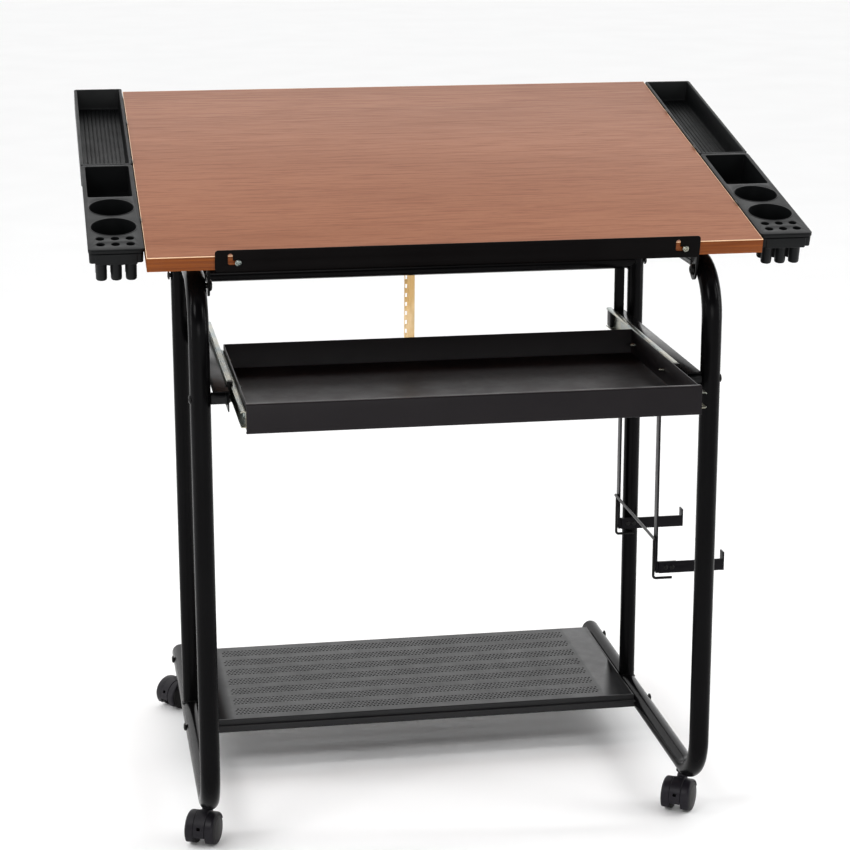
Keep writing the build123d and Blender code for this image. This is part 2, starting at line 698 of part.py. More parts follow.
with BuildPart() as stay_bar:
    block(stay_plane, stay_x, (-stay_length, -2), (-stay_t / 2, stay_t / 2))
    block(stay_plane, (0, stay_t), (-stay_length, -12), (-stay_flange, stay_t / 2))
    rod(stay_hinge + Vector(-6.5, 0, 0), (1, 0, 0), 16, 5.0)
    with BuildSketch(stay_plane.offset(-stay_t)):
        for number in range(21):
            with Locations((-3.0, -26 - stay_slot_pitch * number)):
                Rectangle(2.8, 6.0)
    extrude(amount=2 * stay_t, mode=Mode.SUBTRACT)
    rod(stay_hinge + Vector(-20, 0, 0), (1, 0, 0), 40, 2.5 + running_gap, Mode.SUBTRACT)
write(stay_bar, "stay_bar")

with BuildPart() as keeper:
    block(keeper_plane, (-9.8, 13.2), (-12, 12), (-10.0, 5.0))
    block(keeper_plane, (-7.6, 11.0), (-20, 20), (-8.0, 2.8), Mode.SUBTRACT)
    for start_x, direction in ((-9.8, -1), (13.2, 1)):
        rod((start_x, keeper_y, keeper_z), (direction, 0, 0), 7, 2.5 - running_gap)
write(keeper, "stay_keeper")

with BuildPart() as keeper_bracket:
    for x in (-15.8, 17.2):
        with BuildSketch(Plane.YZ.offset(x)):
            with Locations((keeper_y, keeper_z)):
                Circle(7)
            with Locations((upright_y + 5, cross_rail_z)):
                Rectangle(10, 14)
            make_hull()
            with Locations((keeper_y, keeper_z)):
                Circle(2.5, mode=Mode.SUBTRACT)
        extrude(amount=2)
    rod((-30, upright_y, cross_rail_z), (1, 0, 0), 60, rail_r, Mode.SUBTRACT)
write(keeper_bracket, "stay_bracket")

with BuildPart() as catch:
    block(keeper_plane, (-6, 9), (-10, 12), (5.0, 6.0))
    block(keeper_plane, (-6, 9), (12, 13), (1.4, 6.0))
write(catch, "stay_catch")

# ---- casters ------------------------------------------------------------------------------

# Each caster is drawn from its stem's place on the floor: axle points along its wheels' axle,
# lead points the way it heads, and its wheels trail behind the stem.
with BuildPart() as stem_sockets:
    for sign in sides.values():
        for y in caster_y.values():
            tube_bottom = base_z - tube_r
            rod((sign * side_x, y, tube_bottom - 2), (0, 0, 1), 2, 8.5)
            rod((sign * side_x, y, tube_bottom - 2), (0, 0, 1), tube_r + 8, socket_r)
            bore_r = stem_r + running_gap
            rod((sign * side_x, y, tube_bottom - 5), (0, 0, 1), 40, bore_r, Mode.SUBTRACT)
write(stem_sockets, "stem_sockets")

for corner, turn in caster_turn.items():
    end, side = corner.split("_")
    place = Vector(sides[side] * side_x, caster_y[end], 0)
    axle = Vector(cos(radians(turn)), sin(radians(turn)), 0)
    lead = Vector(-sin(radians(turn)), cos(radians(turn)), 0)
    hub = place - lead * caster_trail + Vector(0, 0, wheel_r)

    with BuildPart() as hood:
        hood_w = 2 * (wheel_inner_x + wheel_w)
        with BuildSketch(Plane(origin=place - axle * hood_w / 2, x_dir=lead, z_dir=axle)):
            with BuildLine():
                outer = CenterArc((-caster_trail, wheel_r), hood_r, 22, 192)
                inner = CenterArc((-caster_trail, wheel_r), hood_inner_r, 22, 192)
                Line(outer @ 0, inner @ 0)
                Line(outer @ 1, inner @ 1)
            make_face()
        extrude(amount=hood_w)
        with BuildSketch(Plane(origin=place - axle * 4, x_dir=lead, z_dir=axle)):
            with BuildLine():
                rim = CenterArc((-caster_trail, wheel_r), hood_inner_r + 0.5, 22, 192)
                Line(rim @ 0, (-caster_trail, wheel_r))
                Line(rim @ 1, (-caster_trail, wheel_r))
            make_face()
            with Locations((-caster_trail, wheel_r)):
                Circle(11)
        extrude(amount=8)
        rod(place + Vector(0, 0, 23), (0, 0, 1), 23, 6.0)
        rod(place + Vector(0, 0, 23), (0, 0, 1), 30, stem_r, Mode.SUBTRACT)
        rod(hub - axle * 10, axle, 20, axle_r + running_gap, Mode.SUBTRACT)
        face_out = lead * -1
        notch = Plane(origin=hub + face_out * 15, x_dir=axle, z_dir=face_out)
        block(notch, (-2, 2), (-1, 3), (0, 12), Mode.SUBTRACT)
    write(hood, f"caster_hood_{corner}")

    with BuildPart() as stem:
        rod(place + Vector(0, 0, 26), (0, 0, 1), base_z + 4 - 26, stem_r)
    write(stem, f"caster_stem_{corner}")

    with BuildPart() as wheels:
        for direction in (-1, 1):
            wheel_plane = Plane(origin=hub, x_dir=axle * direction, z_dir=lead * direction)
            with BuildSketch(wheel_plane):
                with BuildLine():
                    Polyline(
                        (wheel_inner_x, axle_r),
                        (wheel_inner_x, wheel_r - 2),
                        (wheel_inner_x + 1.5, wheel_r),
                        (wheel_inner_x + wheel_w - 3, wheel_r),
                    )
                    ThreePointArc(
                        (wheel_inner_x + wheel_w - 3, wheel_r),
                        (wheel_inner_x + wheel_w - 0.9, wheel_r - 0.9),
                        (wheel_inner_x + wheel_w, wheel_r - 3),
                    )
                    Polyline(
                        (wheel_inner_x + wheel_w, wheel_r - 3),
                        (wheel_inner_x + wheel_w + 2, 9),
                        (wheel_inner_x + wheel_w + 2, axle_r),
                        (wheel_inner_x, axle_r),
                    )
                make_face()
            revolve(axis=Axis(hub, axle))
    write(wheels, f"caster_wheels_{corner}")

    with BuildPart() as axle_pin:
        axle_half = wheel_inner_x + wheel_w + 1.5
        rod(hub - axle * axle_half, axle, 2 * axle_half, axle_r)
    write(axle_pin, f"caster_axle_{corner}")
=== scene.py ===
import bmesh
import bpy
import json
from math import cos, pi, radians, sin, sqrt, tan
from mathutils import Matrix, Vector


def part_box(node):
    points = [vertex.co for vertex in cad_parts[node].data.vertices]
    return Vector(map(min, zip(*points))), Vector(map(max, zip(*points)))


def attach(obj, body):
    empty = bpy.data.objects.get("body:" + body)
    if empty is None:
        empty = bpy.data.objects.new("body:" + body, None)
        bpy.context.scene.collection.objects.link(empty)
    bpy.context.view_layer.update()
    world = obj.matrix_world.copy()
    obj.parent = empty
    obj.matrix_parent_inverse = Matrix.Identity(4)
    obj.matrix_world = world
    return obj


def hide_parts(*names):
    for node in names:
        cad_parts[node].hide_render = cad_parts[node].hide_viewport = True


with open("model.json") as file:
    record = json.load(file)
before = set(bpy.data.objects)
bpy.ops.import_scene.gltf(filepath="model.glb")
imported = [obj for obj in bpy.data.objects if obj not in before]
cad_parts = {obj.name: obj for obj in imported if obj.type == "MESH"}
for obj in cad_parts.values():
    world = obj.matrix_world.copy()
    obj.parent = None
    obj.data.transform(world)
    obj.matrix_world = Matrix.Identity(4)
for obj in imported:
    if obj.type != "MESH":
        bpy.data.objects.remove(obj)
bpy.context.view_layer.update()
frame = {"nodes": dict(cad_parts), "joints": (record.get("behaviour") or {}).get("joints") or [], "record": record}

# ---- what the frame says ----

MM = 0.001
record = frame["record"]
body_of = {n: body for body, nodes in record["behaviour"]["bodies"].items() for n in nodes}
slot_of = {part["node"]: part["material_slot"] for part in record["subparts"]}
joints = {joint["name"]: joint for joint in frame["joints"]}
mounts = {mount["name"]: mount for mount in record["mounts"]}
corners = ("front_left", "front_right", "rear_left", "rear_right")
sides = {"left": -1, "right": 1}

X, Y, Z = Vector((1, 0, 0)), Vector((0, 1, 0)), Vector((0, 0, 1))
up = Vector(mounts["drawing_surface"]["axis"]).normalized()
along = up.cross(X)


def extent(node, direction):
    """Lowest and highest reach of a CAD node along a direction."""
    reach = [direction.dot(v.co) for v in frame["nodes"][node].data.vertices]
    return min(reach), max(reach)


board_s = extent("board_edge_band", along)
board_n = extent("board_edge_band", up)
tilt = along.angle(Y)


def on_board(x, s, n):
    """Point x across the board, s back from its front edge and n off its drawing surface."""
    return X * x + along * (board_s[0] + s) + up * (board_n[1] + n)


def board_range(node):
    """A node's low and high x, s and n, as on_board takes them."""
    low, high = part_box(node)
    s_low, s_high = (value - board_s[0] for value in extent(node, along))
    n_low, n_high = (value - board_n[1] for value in extent(node, up))
    return (low.x, high.x), (s_low, s_high), (n_low, n_high)


def add_object(name, data):
    """A new object in the scene."""
    made = bpy.data.objects.new(name, data)
    bpy.context.scene.collection.objects.link(made)
    return made


def mesh_from(name, bm):
    """A mesh made from a bmesh, which is freed."""
    mesh = bpy.data.meshes.new(name)
    bm.to_mesh(mesh)
    bm.free()
    return mesh


# ---- materials ----


def start_look(name, metallic=0.0, specular=0.5, coat=0.0, coat_roughness=0.15):
    """A new material with its node tree and its shader."""
    material = bpy.data.materials.new(name)
    material.use_nodes = True
    tree = material.node_tree
    shader = tree.nodes["Principled BSDF"]
    shader.inputs["Metallic"].default_value = metallic
    shader.inputs["Specular IOR Level"].default_value = specular
    shader.inputs["Coat Weight"].default_value = coat
    shader.inputs["Coat Roughness"].default_value = coat_roughness
    return material, tree, shader


def coordinates(tree, scale=(1, 1, 1), turn=(0, 0, 0)):
    """The piece's own coordinates in metres, turned and then scaled."""
    source = tree.nodes.new("ShaderNodeTexCoord")
    turned = tree.nodes.new("ShaderNodeMapping")
    turned.inputs["Rotation"].default_value = turn
    scaled = tree.nodes.new("ShaderNodeMapping")
    scaled.inputs["Scale"].default_value = scale
    tree.links.new(source.outputs["Object"], turned.inputs["Vector"])
    tree.links.new(turned.outputs["Vector"], scaled.inputs["Vector"])
    return scaled.outputs["Vector"]


def noise(tree, vector, scale, detail=3.0, roughness=0.5, distortion=0.0):
    """Noise from about 0.3 to 0.7."""
    node = tree.nodes.new("ShaderNodeTexNoise")
    node.inputs["Scale"].default_value = scale
    node.inputs["Detail"].default_value = detail
    node.inputs["Roughness"].default_value = roughness
    node.inputs["Distortion"].default_value = distortion
    tree.links.new(vector, node.inputs["Vector"])
    return node.outputs["Fac"]


def remap(tree, value, from_range, to_range):
    """A value's range stretched to another one, held at its ends."""
    node = tree.nodes.new("ShaderNodeMapRange")
    node.inputs["From Min"].default_value, node.inputs["From Max"].default_value = from_range
    node.inputs["To Min"].default_value, node.inputs["To Max"].default_value = to_range
    tree.links.new(value, node.inputs["Value"])
    return node.outputs["Result"]


def blend_colours(tree, factor, first, second):
    """A mix of two colours, each a triple or a socket."""
    node = tree.nodes.new("ShaderNodeMix")
    node.data_type = "RGBA"
    tree.links.new(factor, node.inputs[0])
    for socket, colour in ((node.inputs[6], first), (node.inputs[7], second)):
        if isinstance(colour, tuple):
            socket.default_value = (*colour, 1.0)
        else:
            tree.links.new(colour, socket)
    return node.outputs[2]


def add_bump(tree, shader, height, strength, distance):
    """Surface relief from a height, a distance of so many metres."""
    node = tree.nodes.new("ShaderNodeBump")
    node.inputs["Strength"].default_value = strength
    node.inputs["Distance"].default_value = distance
    tree.links.new(height, node.inputs["Height"])
    tree.links.new(node.outputs["Normal"], shader.inputs["Normal"])


def finish(tree, shader, colour, gloss):
    """Give a shader its colour and its roughness."""
    tree.links.new(colour, shader.inputs["Base Color"])
    tree.links.new(gloss, shader.inputs["Roughness"])


def painted(name, dark, light, roughness, grain, relief, specular):
    """Black paint or plastic: faint cloudy tone, uneven gloss and a fine surface grain."""
    material, tree, shader = start_look(name, specular=specular)
    cloud = noise(tree, coordinates(tree), 9.0, 4.0)
    tone = remap(tree, cloud, (0.3, 0.7), (0.0, 1.0))
    smudge = noise(tree, coordinates(tree), 34.0, 5.0, 0.6)
    gloss = remap(tree, smudge, (0.3, 0.7), (roughness - 0.05, roughness + 0.05))
    finish(tree, shader, blend_colours(tree, tone, dark, light), gloss)
    add_bump(tree, shader, noise(tree, coordinates(tree), grain, 2.0), relief, 0.2 * MM)
    return material


def plated(name, cool, warm, roughness, brush):
    """Plated steel: metal that drifts between two tints, with fine drawn lines."""
    material, tree, shader = start_look(name, metallic=1.0)
    drift = noise(tree, coordinates(tree), 28.0, 3.0, 0.5, 0.4)
    tint = blend_colours(tree, remap(tree, drift, (0.35, 0.65), (0.0, 1.0)), cool, warm)
    lines = noise(tree, coordinates(tree, brush), 1.0, 3.0)
    shade = remap(tree, lines, (0.3, 0.7), (0.0, 0.25))
    darker = tuple(0.55 * channel for channel in cool)
    gloss = remap(tree, lines, (0.3, 0.7), (roughness - 0.06, roughness + 0.08))
    finish(tree, shader, blend_colours(tree, shade, tint, darker), gloss)
    add_bump(tree, shader, lines, 0.15, 0.05 * MM)
    return material


def wood_top(name):
    """Printed wood laminate: faint wide bands, short fine grain lines and small pores."""
    material, tree, shader = start_look(name, specular=0.17)
    turn = (-tilt, 0, 0)
    band = noise(tree, coordinates(tree, (1.2, 9, 9), turn), 1.0, 2.0, 0.5, 0.5)
    light, dark = (0.322, 0.144, 0.082), (0.280, 0.121, 0.067)
    base = blend_colours(tree, remap(tree, band, (0.36, 0.66), (0.0, 1.0)), light, dark)
    streak = noise(tree, coordinates(tree, (13, 330, 330), turn), 1.0, 5.0, 0.6, 0.2)
    grain = remap(tree, streak, (0.46, 0.70), (0.0, 0.60))
    veined = blend_colours(tree, grain, base, (0.180, 0.070, 0.042))
    pore = noise(tree, coordinates(tree, (60, 1100, 1100), turn), 1.0, 2.0)
    speck = remap(tree, pore, (0.56, 0.75), (0.0, 0.40))
    pored = blend_colours(tree, speck, veined, (0.125, 0.048, 0.030))
    finish(tree, shader, pored, remap(tree, streak, (0.3, 0.7), (0.42, 0.52)))
    add_bump(tree, shader, pore, 0.25, 0.05 * MM)
    return material


def wood_edge(name):
    """Glossy orange-brown edge band, grain running round the board, pale line at its top."""
    material, tree, shader = start_look(name, specular=0.2, coat=0.08, coat_roughness=0.12)
    turn = (-tilt, 0, 0)
    streak = noise(tree, coordinates(tree, (4, 4, 320), turn), 1.0, 5.0, 0.6, 0.4)
    grain = remap(tree, streak, (0.36, 0.66), (0.0, 1.0))
    wood = blend_colours(tree, grain, (0.245, 0.073, 0.012), (0.138, 0.033, 0.005))
    height = tree.nodes.new("ShaderNodeSeparateXYZ")
    tree.links.new(coordinates(tree, turn=turn), height.inputs["Vector"])
    pale_from = board_n[1] - 1.1 * MM
    pale = remap(tree, height.outputs["Z"], (pale_from, pale_from + 0.2 * MM), (0.0, 1.0))
    colour = blend_colours(tree, pale, wood, (0.78, 0.55, 0.36))
    finish(tree, shader, colour, remap(tree, streak, (0.3, 0.7), (0.26, 0.36)))
    add_bump(tree, shader, streak, 0.12, 0.05 * MM)
    return material


# Each black finish: dark and light tone, roughness, grain scale, relief and specular level.
PAINTS = {
    "frame_paint": ((0.0032, 0.0030, 0.0034), (0.0052, 0.0050, 0.0055), 0.22, 900, 0.02, 0.09),
    "black_hardware": ((0.007, 0.007, 0.007), (0.013, 0.012, 0.012), 0.30, 1500, 0.10, 0.25),
    "rack_paint": ((0.005, 0.004, 0.006), (0.008, 0.007, 0.009), 0.34, 1200, 0.12, 0.15),
    "cap_plastic": ((0.006, 0.006, 0.006), (0.011, 0.011, 0.012), 0.38, 1800, 0.12, 0.20),
    "shelf_paint": ((0.007, 0.007, 0.008), (0.011, 0.011, 0.012), 0.42, 1400, 0.22, 0.44),
    "ledge_paint": ((0.004, 0.003, 0.003), (0.006, 0.005, 0.005), 0.40, 1100, 0.12, 0.06),
    "drawer_paint": ((0.012, 0.010, 0.0115), (0.017, 0.0145, 0.016), 0.33, 1100, 0.06, 0.17),
    "tray_plastic": ((0.006, 0.0065, 0.007), (0.009, 0.010, 0.0105), 0.44, 2200, 0.20, 0.20),
    "clip_metal": ((0.005, 0.005, 0.005), (0.009, 0.009, 0.009), 0.34, 1500, 0.10, 0.20),
    "caster_plastic": ((0.010, 0.009, 0.012), (0.015, 0.013, 0.018), 0.42, 1600, 0.18, 0.30),
    "wheel_plastic": ((0.012, 0.011, 0.012), (0.019, 0.018, 0.018), 0.46, 1600, 0.22, 0.30),
}
# Each plating: cool and warm tint, roughness, and the scales of its drawn lines.
PLATINGS = {
    "zinc_plate": ((0.21, 0.25, 0.25), (0.36, 0.34, 0.27), 0.28, (900, 40, 900)),
    "gold_plate": ((0.62, 0.42, 0.20), (0.74, 0.56, 0.34), 0.36, (900, 900, 40)),
    "steel_pin": ((0.56, 0.57, 0.58), (0.66, 0.65, 0.63), 0.28, (600, 600, 60)),
}
look = {name: painted(name, *values) for name, values in PAINTS.items()}
look.update({name: plated(name, *values) for name, values in PLATINGS.items()})
look["board_laminate"] = wood_top("board_laminate")
look["edge_banding"] = wood_edge("edge_banding")

# ---- mesh helpers ----

SAME_POINT = 0.002 * MM
CREASE_ANGLE = radians(38)
SHARP_ANGLE = radians(32)


def circle(steps):
    """Angles once round."""
    return [2 * pi * step / steps for step in range(steps)]


def loft(bm, rings, capped=True):
    """Skin a row of closed rings that all have the same number of points."""
    made = [[bm.verts.new(point) for point in ring] for ring in rings]
    for low, high in zip(made, made[1:]):
        for i in range(len(low)):
            bm.faces.new((low[i - 1], low[i], high[i], high[i - 1]))
    if capped:
        bm.faces.new(reversed(made[0]))
        bm.faces.new(made[-1])
    return made


def route(corner_points, radii, steps=14):
    """Points along straight runs that are joined by arcs, one radius to each inner corner."""
    points = [corner_points[0]]
    triples = zip(corner_points, corner_points[1:], corner_points[2:], radii)
    for before, corner, after, radius in triples:
        back = (before - corner).normalized()
        ahead = (after - corner).normalized()
        half = back.angle(ahead) / 2
        centre = corner + (back + ahead).normalized() * radius / sin(half)
        first = (corner + back * radius / tan(half) - centre).normalized()
        last = (corner + ahead * radius / tan(half) - centre).normalized()
        points += [centre + first.slerp(last, step / steps) * radius for step in range(steps + 1)]
    return points + [corner_points[-1]]


def sweep(bm, path, radius, side, steps=40):
    """A round bar along points in one plane, whose normal is side."""
    rings = []
    for i, point in enumerate(path):
        tangent = (path[min(i + 1, len(path) - 1)] - path[max(i - 1, 0)]).normalized()
        out = tangent.cross(side)
        rings.append([point + radius * (cos(a) * side + sin(a) * out) for a in circle(steps)])
    loft(bm, rings)


def lathe(bm, outline, place, direction, steps=40):
    """Turn an outline of (radius, height) about an axis."""
    turn = Vector(direction).to_track_quat("Z", "Y").to_matrix()
    rings = []
    for radius, height in outline:
        ring = [Vector((radius * cos(a), radius * sin(a), height)) for a in circle(steps)]
        rings.append([place + turn @ point for point in ring])
    loft(bm, rings)


def show(name, bm, node, stands_for=True):
    """Show a bmesh as a piece that rides with a CAD node and, unless told not to, stands for it."""
    bmesh.ops.recalc_face_normals(bm, faces=bm.faces)
    for face in bm.faces:
        face.smooth = True
    for edge in bm.edges:
        if len(edge.link_faces) == 2:
            edge.smooth = edge.calc_face_angle(0) < CREASE_ANGLE
    mesh = mesh_from(name, bm)
    mesh.materials.append(look[slot_of[node]])
    piece = add_object(name, mesh)
    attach(piece, body_of[node])
    if stands_for:
        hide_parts(node)
    return piece


def cad_mesh(node):
    """A bmesh of a CAD node's shape, its split corners joined and its flat faces merged."""
    bm = bmesh.new()
    bm.from_mesh(frame["nodes"][node].data)
    bmesh.ops.remove_doubles(bm, verts=bm.verts, dist=SAME_POINT)
    bmesh.ops.dissolve_limit(bm, angle_limit=radians(0.4), verts=bm.verts, edges=bm.edges)
    return bm


def soften(node, width):
    """Stand in for a CAD node with its own shape and rounded edges."""
    bm = cad_mesh(node)
    sharp = [e for e in bm.edges if len(e.link_faces) == 2 and e.calc_face_angle(0) > SHARP_ANGLE]
    size = {"offset": width * MM, "segments": 2, "profile": 0.5}
    bmesh.ops.bevel(bm, geom=sharp, affect="EDGES", clamp_overlap=True, **size)
    show(f"{node}_rounded", bm, node)


def solids(node):
    """The separate solids of a CAD node, each as a list of its points."""
    bm = cad_mesh(node)
    left = set(bm.verts)
    found = []
    while left:
        group, todo = [], [left.pop()]
        while todo:
            vert = todo.pop()
            group.append(vert.co.copy())
            for edge in vert.link_edges:
                other = edge.other_vert(vert)
                if other in left:
                    left.remove(other)
                    todo.append(other)
        found.append(group)
    bm.free()
    return found


def flat_plate(loops, thickness, edge):
    """A flat plate with holes and rounded edges, standing on z 0, from outlines of (x, y)."""
    curve = bpy.data.curves.new("plate", "CURVE")
    curve.dimensions = "2D"
    curve.fill_mode = "BOTH"
    curve.extrude = thickness / 2 - edge
    curve.bevel_depth = edge
    curve.bevel_resolution = 2
    curve.offset = -edge
    for loop in loops:
        spline = curve.splines.new("POLY")
        spline.points.add(len(loop) - 1)
        for point, (x, y) in zip(spline.points, loop):
            point.co = (x, y, 0, 1)
        spline.use_cyclic_u = True
    holder = bpy.data.objects.new("plate", curve)
    mesh = bpy.data.meshes.new_from_object(holder)
    bpy.data.objects.remove(holder)
    bpy.data.curves.remove(curve)
    mesh.transform(Matrix.Translation((0, 0, thickness / 2)))
    return mesh


def stamp(bm, mesh, matrix):
    """Add a copy of a mesh to a bmesh, placed by a matrix."""
    before = len(bm.verts)
    bm.from_mesh(mesh)
    bm.verts.ensure_lookup_table()
    bmesh.ops.transform(bm, matrix=matrix, verts=bm.verts[before:])
    bmesh.ops.remove_doubles(bm, verts=bm.verts[before:], dist=SAME_POINT)


def axes_matrix(x_axis, y_axis, z_axis, origin):
    """Matrix that takes local axes to these ones at an origin."""
    turn = Matrix((x_axis, y_axis, z_axis)).transposed().to_4x4()
    return Matrix.Translation(origin) @ turn


def rounded_loop(x_range, y_range, radius, steps=6):
    """Outline (x, y) of a rectangle with round corners."""
    left, right = x_range[0] + radius, x_range[1] - radius
    front, back = y_range[0] + radius, y_range[1] - radius
    centres = ((right, back, 0), (left, back, 90), (left, front, 180), (right, front, 270))
    loop = []
    for x, y, start in centres:
        for step in range(steps + 1):
            angle = radians(start + 90 * step / steps)
            loop.append((x + radius * cos(angle), y + radius * sin(angle)))
    return loop


def inset_rings(x_range, y_range, corner, profile, to_point):
    """Rings of a rounded rectangle, inset and lifted by each (inset, height) of a profile."""
    rings = []
    for inset, height in profile:
        inner_x = (x_range[0] + inset, x_range[1] - inset)
        inner_y = (y_range[0] + inset, y_range[1] - inset)
        loop = rounded_loop(inner_x, inner_y, max(corner - inset, 0.5 * MM))
        rings.append([to_point(x, y, height) for x, y in loop])
    return rings


def sheet_outline(path, thickness):
    """Closed (u, v) outline of bent sheet that follows a middle line of (u, v) points."""
    left, right = [], []
    for i, point in enumerate(path):
        ahead = path[min(i + 1, len(path) - 1)] - path[max(i - 1, 0)]
        side = Vector((-ahead.y, ahead.x)).normalized() * thickness / 2
        left.append(point + side)
        right.append(point - side)
    return left + right[::-1]


def bent_sheet(bm, corner_points, radius, thickness, to_point, ends):
    """Bent sheet between two ends: its section's middle line has round bends at its corners."""
    flat = [Vector((u, v, 0)) for u, v in corner_points]
    path = [p.to_2d() for p in route(flat, [radius] * (len(flat) - 2), 5)]
    outline = sheet_outline(path, thickness)
    loft(bm, [[to_point(point.x, point.y, end) for point in outline] for end in ends])


def along_x(u, v, x):
    """Place a section's point (u, v) as y and z, at x."""
    return Vector((x, u, v))


def along_y(u, v, y):
    """Place a section's point (u, v) as x and z, at y."""
    return Vector((u, y, v))


def along_z(u, v, z):
    """Place an outline's point (u, v) as x and y, at z."""
    return Vector((u, v, z))


# ---- fasteners ----


HEAD_SIDE = 0.28
RECESS_LENGTH, RECESS_WIDTH = 0.72, 0.18


def cross_cutter():
    """Two crossed tapering bars that cut a head's recess."""
    cutter = bmesh.new()
    square = ((1, 1), (-1, 1), (-1, -1), (1, -1))
    for lengthwise in (True, False):
        rings = []
        for height, share in ((0.35, 0.55), (1.2, 1.0)):
            x, y = RECESS_LENGTH * share, RECESS_WIDTH
            if not lengthwise:
                x, y = y, x
            rings.append([Vector((x * i, y * j, height)) for i, j in square])
        loft(cutter, rings)
    return cutter


def cross_head():
    """Round screw head, 1 wide in radius and 1 high, with a cross recess in its top."""
    dome = bmesh.new()
    outline = [(1.0, 0.0), (1.0, HEAD_SIDE)]
    for angle in (0.25, 0.5, 0.8, 1.1, 1.35, 1.5):
        outline.append((cos(angle) ** 0.8, HEAD_SIDE + (1 - HEAD_SIDE) * sin(angle)))
    lathe(dome, outline, Vector((0, 0, 0)), Z, 48)
    cutter = cross_cutter()
    holders = []
    for name, bm in (("head", dome), ("cutter", cutter)):
        bmesh.ops.recalc_face_normals(bm, faces=bm.faces)
        holders.append(add_object(name, mesh_from(name, bm)))
    cut = holders[0].modifiers.new("recess", "BOOLEAN")
    cut.operation = "DIFFERENCE"
    cut.solver = "EXACT"
    cut.use_self = True
    cut.object = holders[1]
    depsgraph = bpy.context.evaluated_depsgraph_get()
    head = bpy.data.meshes.new_from_object(holders[0].evaluated_get(depsgraph))
    for holder in holders:
        bpy.data.objects.remove(holder)
    return head


head_mesh = cross_head()


def read_bolt(points, axes):
    """A bolt or nut's foot on its axis, the axis, which way its head faces, its ends and radius."""
    middle = sum(points, Vector()) / len(points)
    farthest_from_square = -1
    for candidate in axes:
        along_it = [candidate.dot(p) for p in points]
        across_it = [(p - middle - candidate * candidate.dot(p - middle)).length for p in points]
        off_square = abs((max(along_it) - min(along_it)) / (2 * max(across_it)) - 1)
        if off_square > farthest_from_square:
            farthest_from_square = off_square
            axis, reach, radii = candidate, along_it, across_it
    low, high = min(reach), max(reach)
    head_radius = max(radii)
    wide = [h for h, r in zip(reach, radii) if r > 0.75 * head_radius]
    outward = 1 if sum(wide) / len(wide) > (low + high) / 2 else -1
    return middle - axis * axis.dot(middle), axis, outward, low, high, head_radius


def draw_screw(bm, centre, axis, outward, ends, radius, head_height):
    """A screw with a recessed head and a plain shank, chamfered at its tip."""
    tip, top = ends if outward > 0 else ends[::-1]
    seat = top - outward * head_height
    shank_radius = 0.5 * radius
    out = axis * outward
    shank_outline = [
        (0.2 * shank_radius, 0),
        (0.8 * shank_radius, 0),
        (shank_radius, 0.4 * shank_radius),
        (shank_radius, abs(seat - tip) + 0.2 * MM),
    ]
    lathe(bm, shank_outline, centre + axis * tip, out, 20)
    scale = Matrix.Diagonal((radius, radius, head_height, 1))
    turn = out.to_track_quat("Z", "Y").to_matrix().to_4x4()
    stamp(bm, head_mesh, Matrix.Translation(centre + axis * seat) @ turn @ scale)


def fasteners(name, node, axes, head_share):
    """Screws, whose heads are this share of their radius high, or nuts, for a node's plain ones."""
    bm = bmesh.new()
    for points in solids(node):
        centre, axis, outward, low, high, radius = read_bolt(points, axes)
        if high - low < radius:
            draw_nut(bm, centre, axis, low, high, radius)
        else:
            draw_screw(bm, centre, axis, outward, (low, high), radius, head_share * radius)
    show(name, bm, node)


def draw_nut(bm, centre, axis, low, high, radius):
    """A hexagon nut with chamfered corners and the domed end of its bolt."""
    height = high - low
    turn = axis.to_track_quat("Z", "Y").to_matrix()
    rings = []
    for share, at in ((0.9, 0.0), (1.0, 0.12), (1.0, 0.88), (0.9, 1.0)):
        ring = [Vector((cos(a), sin(a), 0)) * radius * share for a in circle(6)]
        rings.append([centre + axis * (low + height * at) + turn @ p for p in ring])
    loft(bm, rings)
    for start, out in ((high, 1), (low, -1)):
        dome = ((0.52, -0.2), (0.5, 0.3), (0.3, 0.6), (0.02, 0.7))
        outline = [(share * radius, height * MM) for share, height in dome]
        lathe(bm, outline, centre + axis * start, axis * out, 20)


# ---- frame tubes ----

TUBE_BENDS = (60 * MM, 65 * MM)
BEAD = 1.5 * MM
BEAD_RIPPLES = 24


def side_tube_line(side):
    """A side tube's x and radius, and its base and top heights, read from its CAD node."""
    low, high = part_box(f"side_tube_{side}")
    radius = (high.x - low.x) / 2
    return (low.x + high.x) / 2, radius, low.z + radius, high.z - radius


def bent_side_tube(side):
    """A side's tube: base run, front leg and top run, with two bends."""
    node = f"side_tube_{side}"
    low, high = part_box(node)
    x, radius, base_z, top_z = side_tube_line(side)
    front = low.y + radius
    middle_z = (base_z + top_z) / 2
    top_back = max(v.co.y for v in frame["nodes"][node].data.vertices if v.co.z > middle_z)
    line = [Vector((x, high.y, base_z)), Vector((x, front, base_z))]
    line += [Vector((x, front, top_z)), Vector((x, top_back, top_z))]
    bm = bmesh.new()
    sweep(bm, route(line, TUBE_BENDS, 28), radius, X, 56)
    show(f"{node}_bent", bm, node)


def saddle_bead(bm, centre, axis, other, ring_radius, tube_radius):
    """Weld bead where a smaller tube along axis stands on a larger one along other."""
    third = axis.cross(other)
    rings = []
    for angle in circle(72):
        radial = cos(angle) * third + sin(angle) * other
        lift = sqrt(tube_radius**2 - (ring_radius * cos(angle)) ** 2)
        at = centre + ring_radius * radial + axis * lift
        size = BEAD * (1 + 0.14 * sin(BEAD_RIPPLES * angle))
        rings.append([at + size * (cos(a) * radial + sin(a) * axis) for a in circle(10)])
    loft(bm, rings + [rings[0]], capped=False)
    bmesh.ops.remove_doubles(bm, verts=bm.verts, dist=0.001 * MM)


def rail_line():
    """Where the top cross rail is: its ends, y, z and radius."""
    low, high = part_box("top_cross_rail")
    return (low.x, high.x), (low.y + high.y) / 2, (low.z + high.z) / 2, (high.z - low.z) / 2


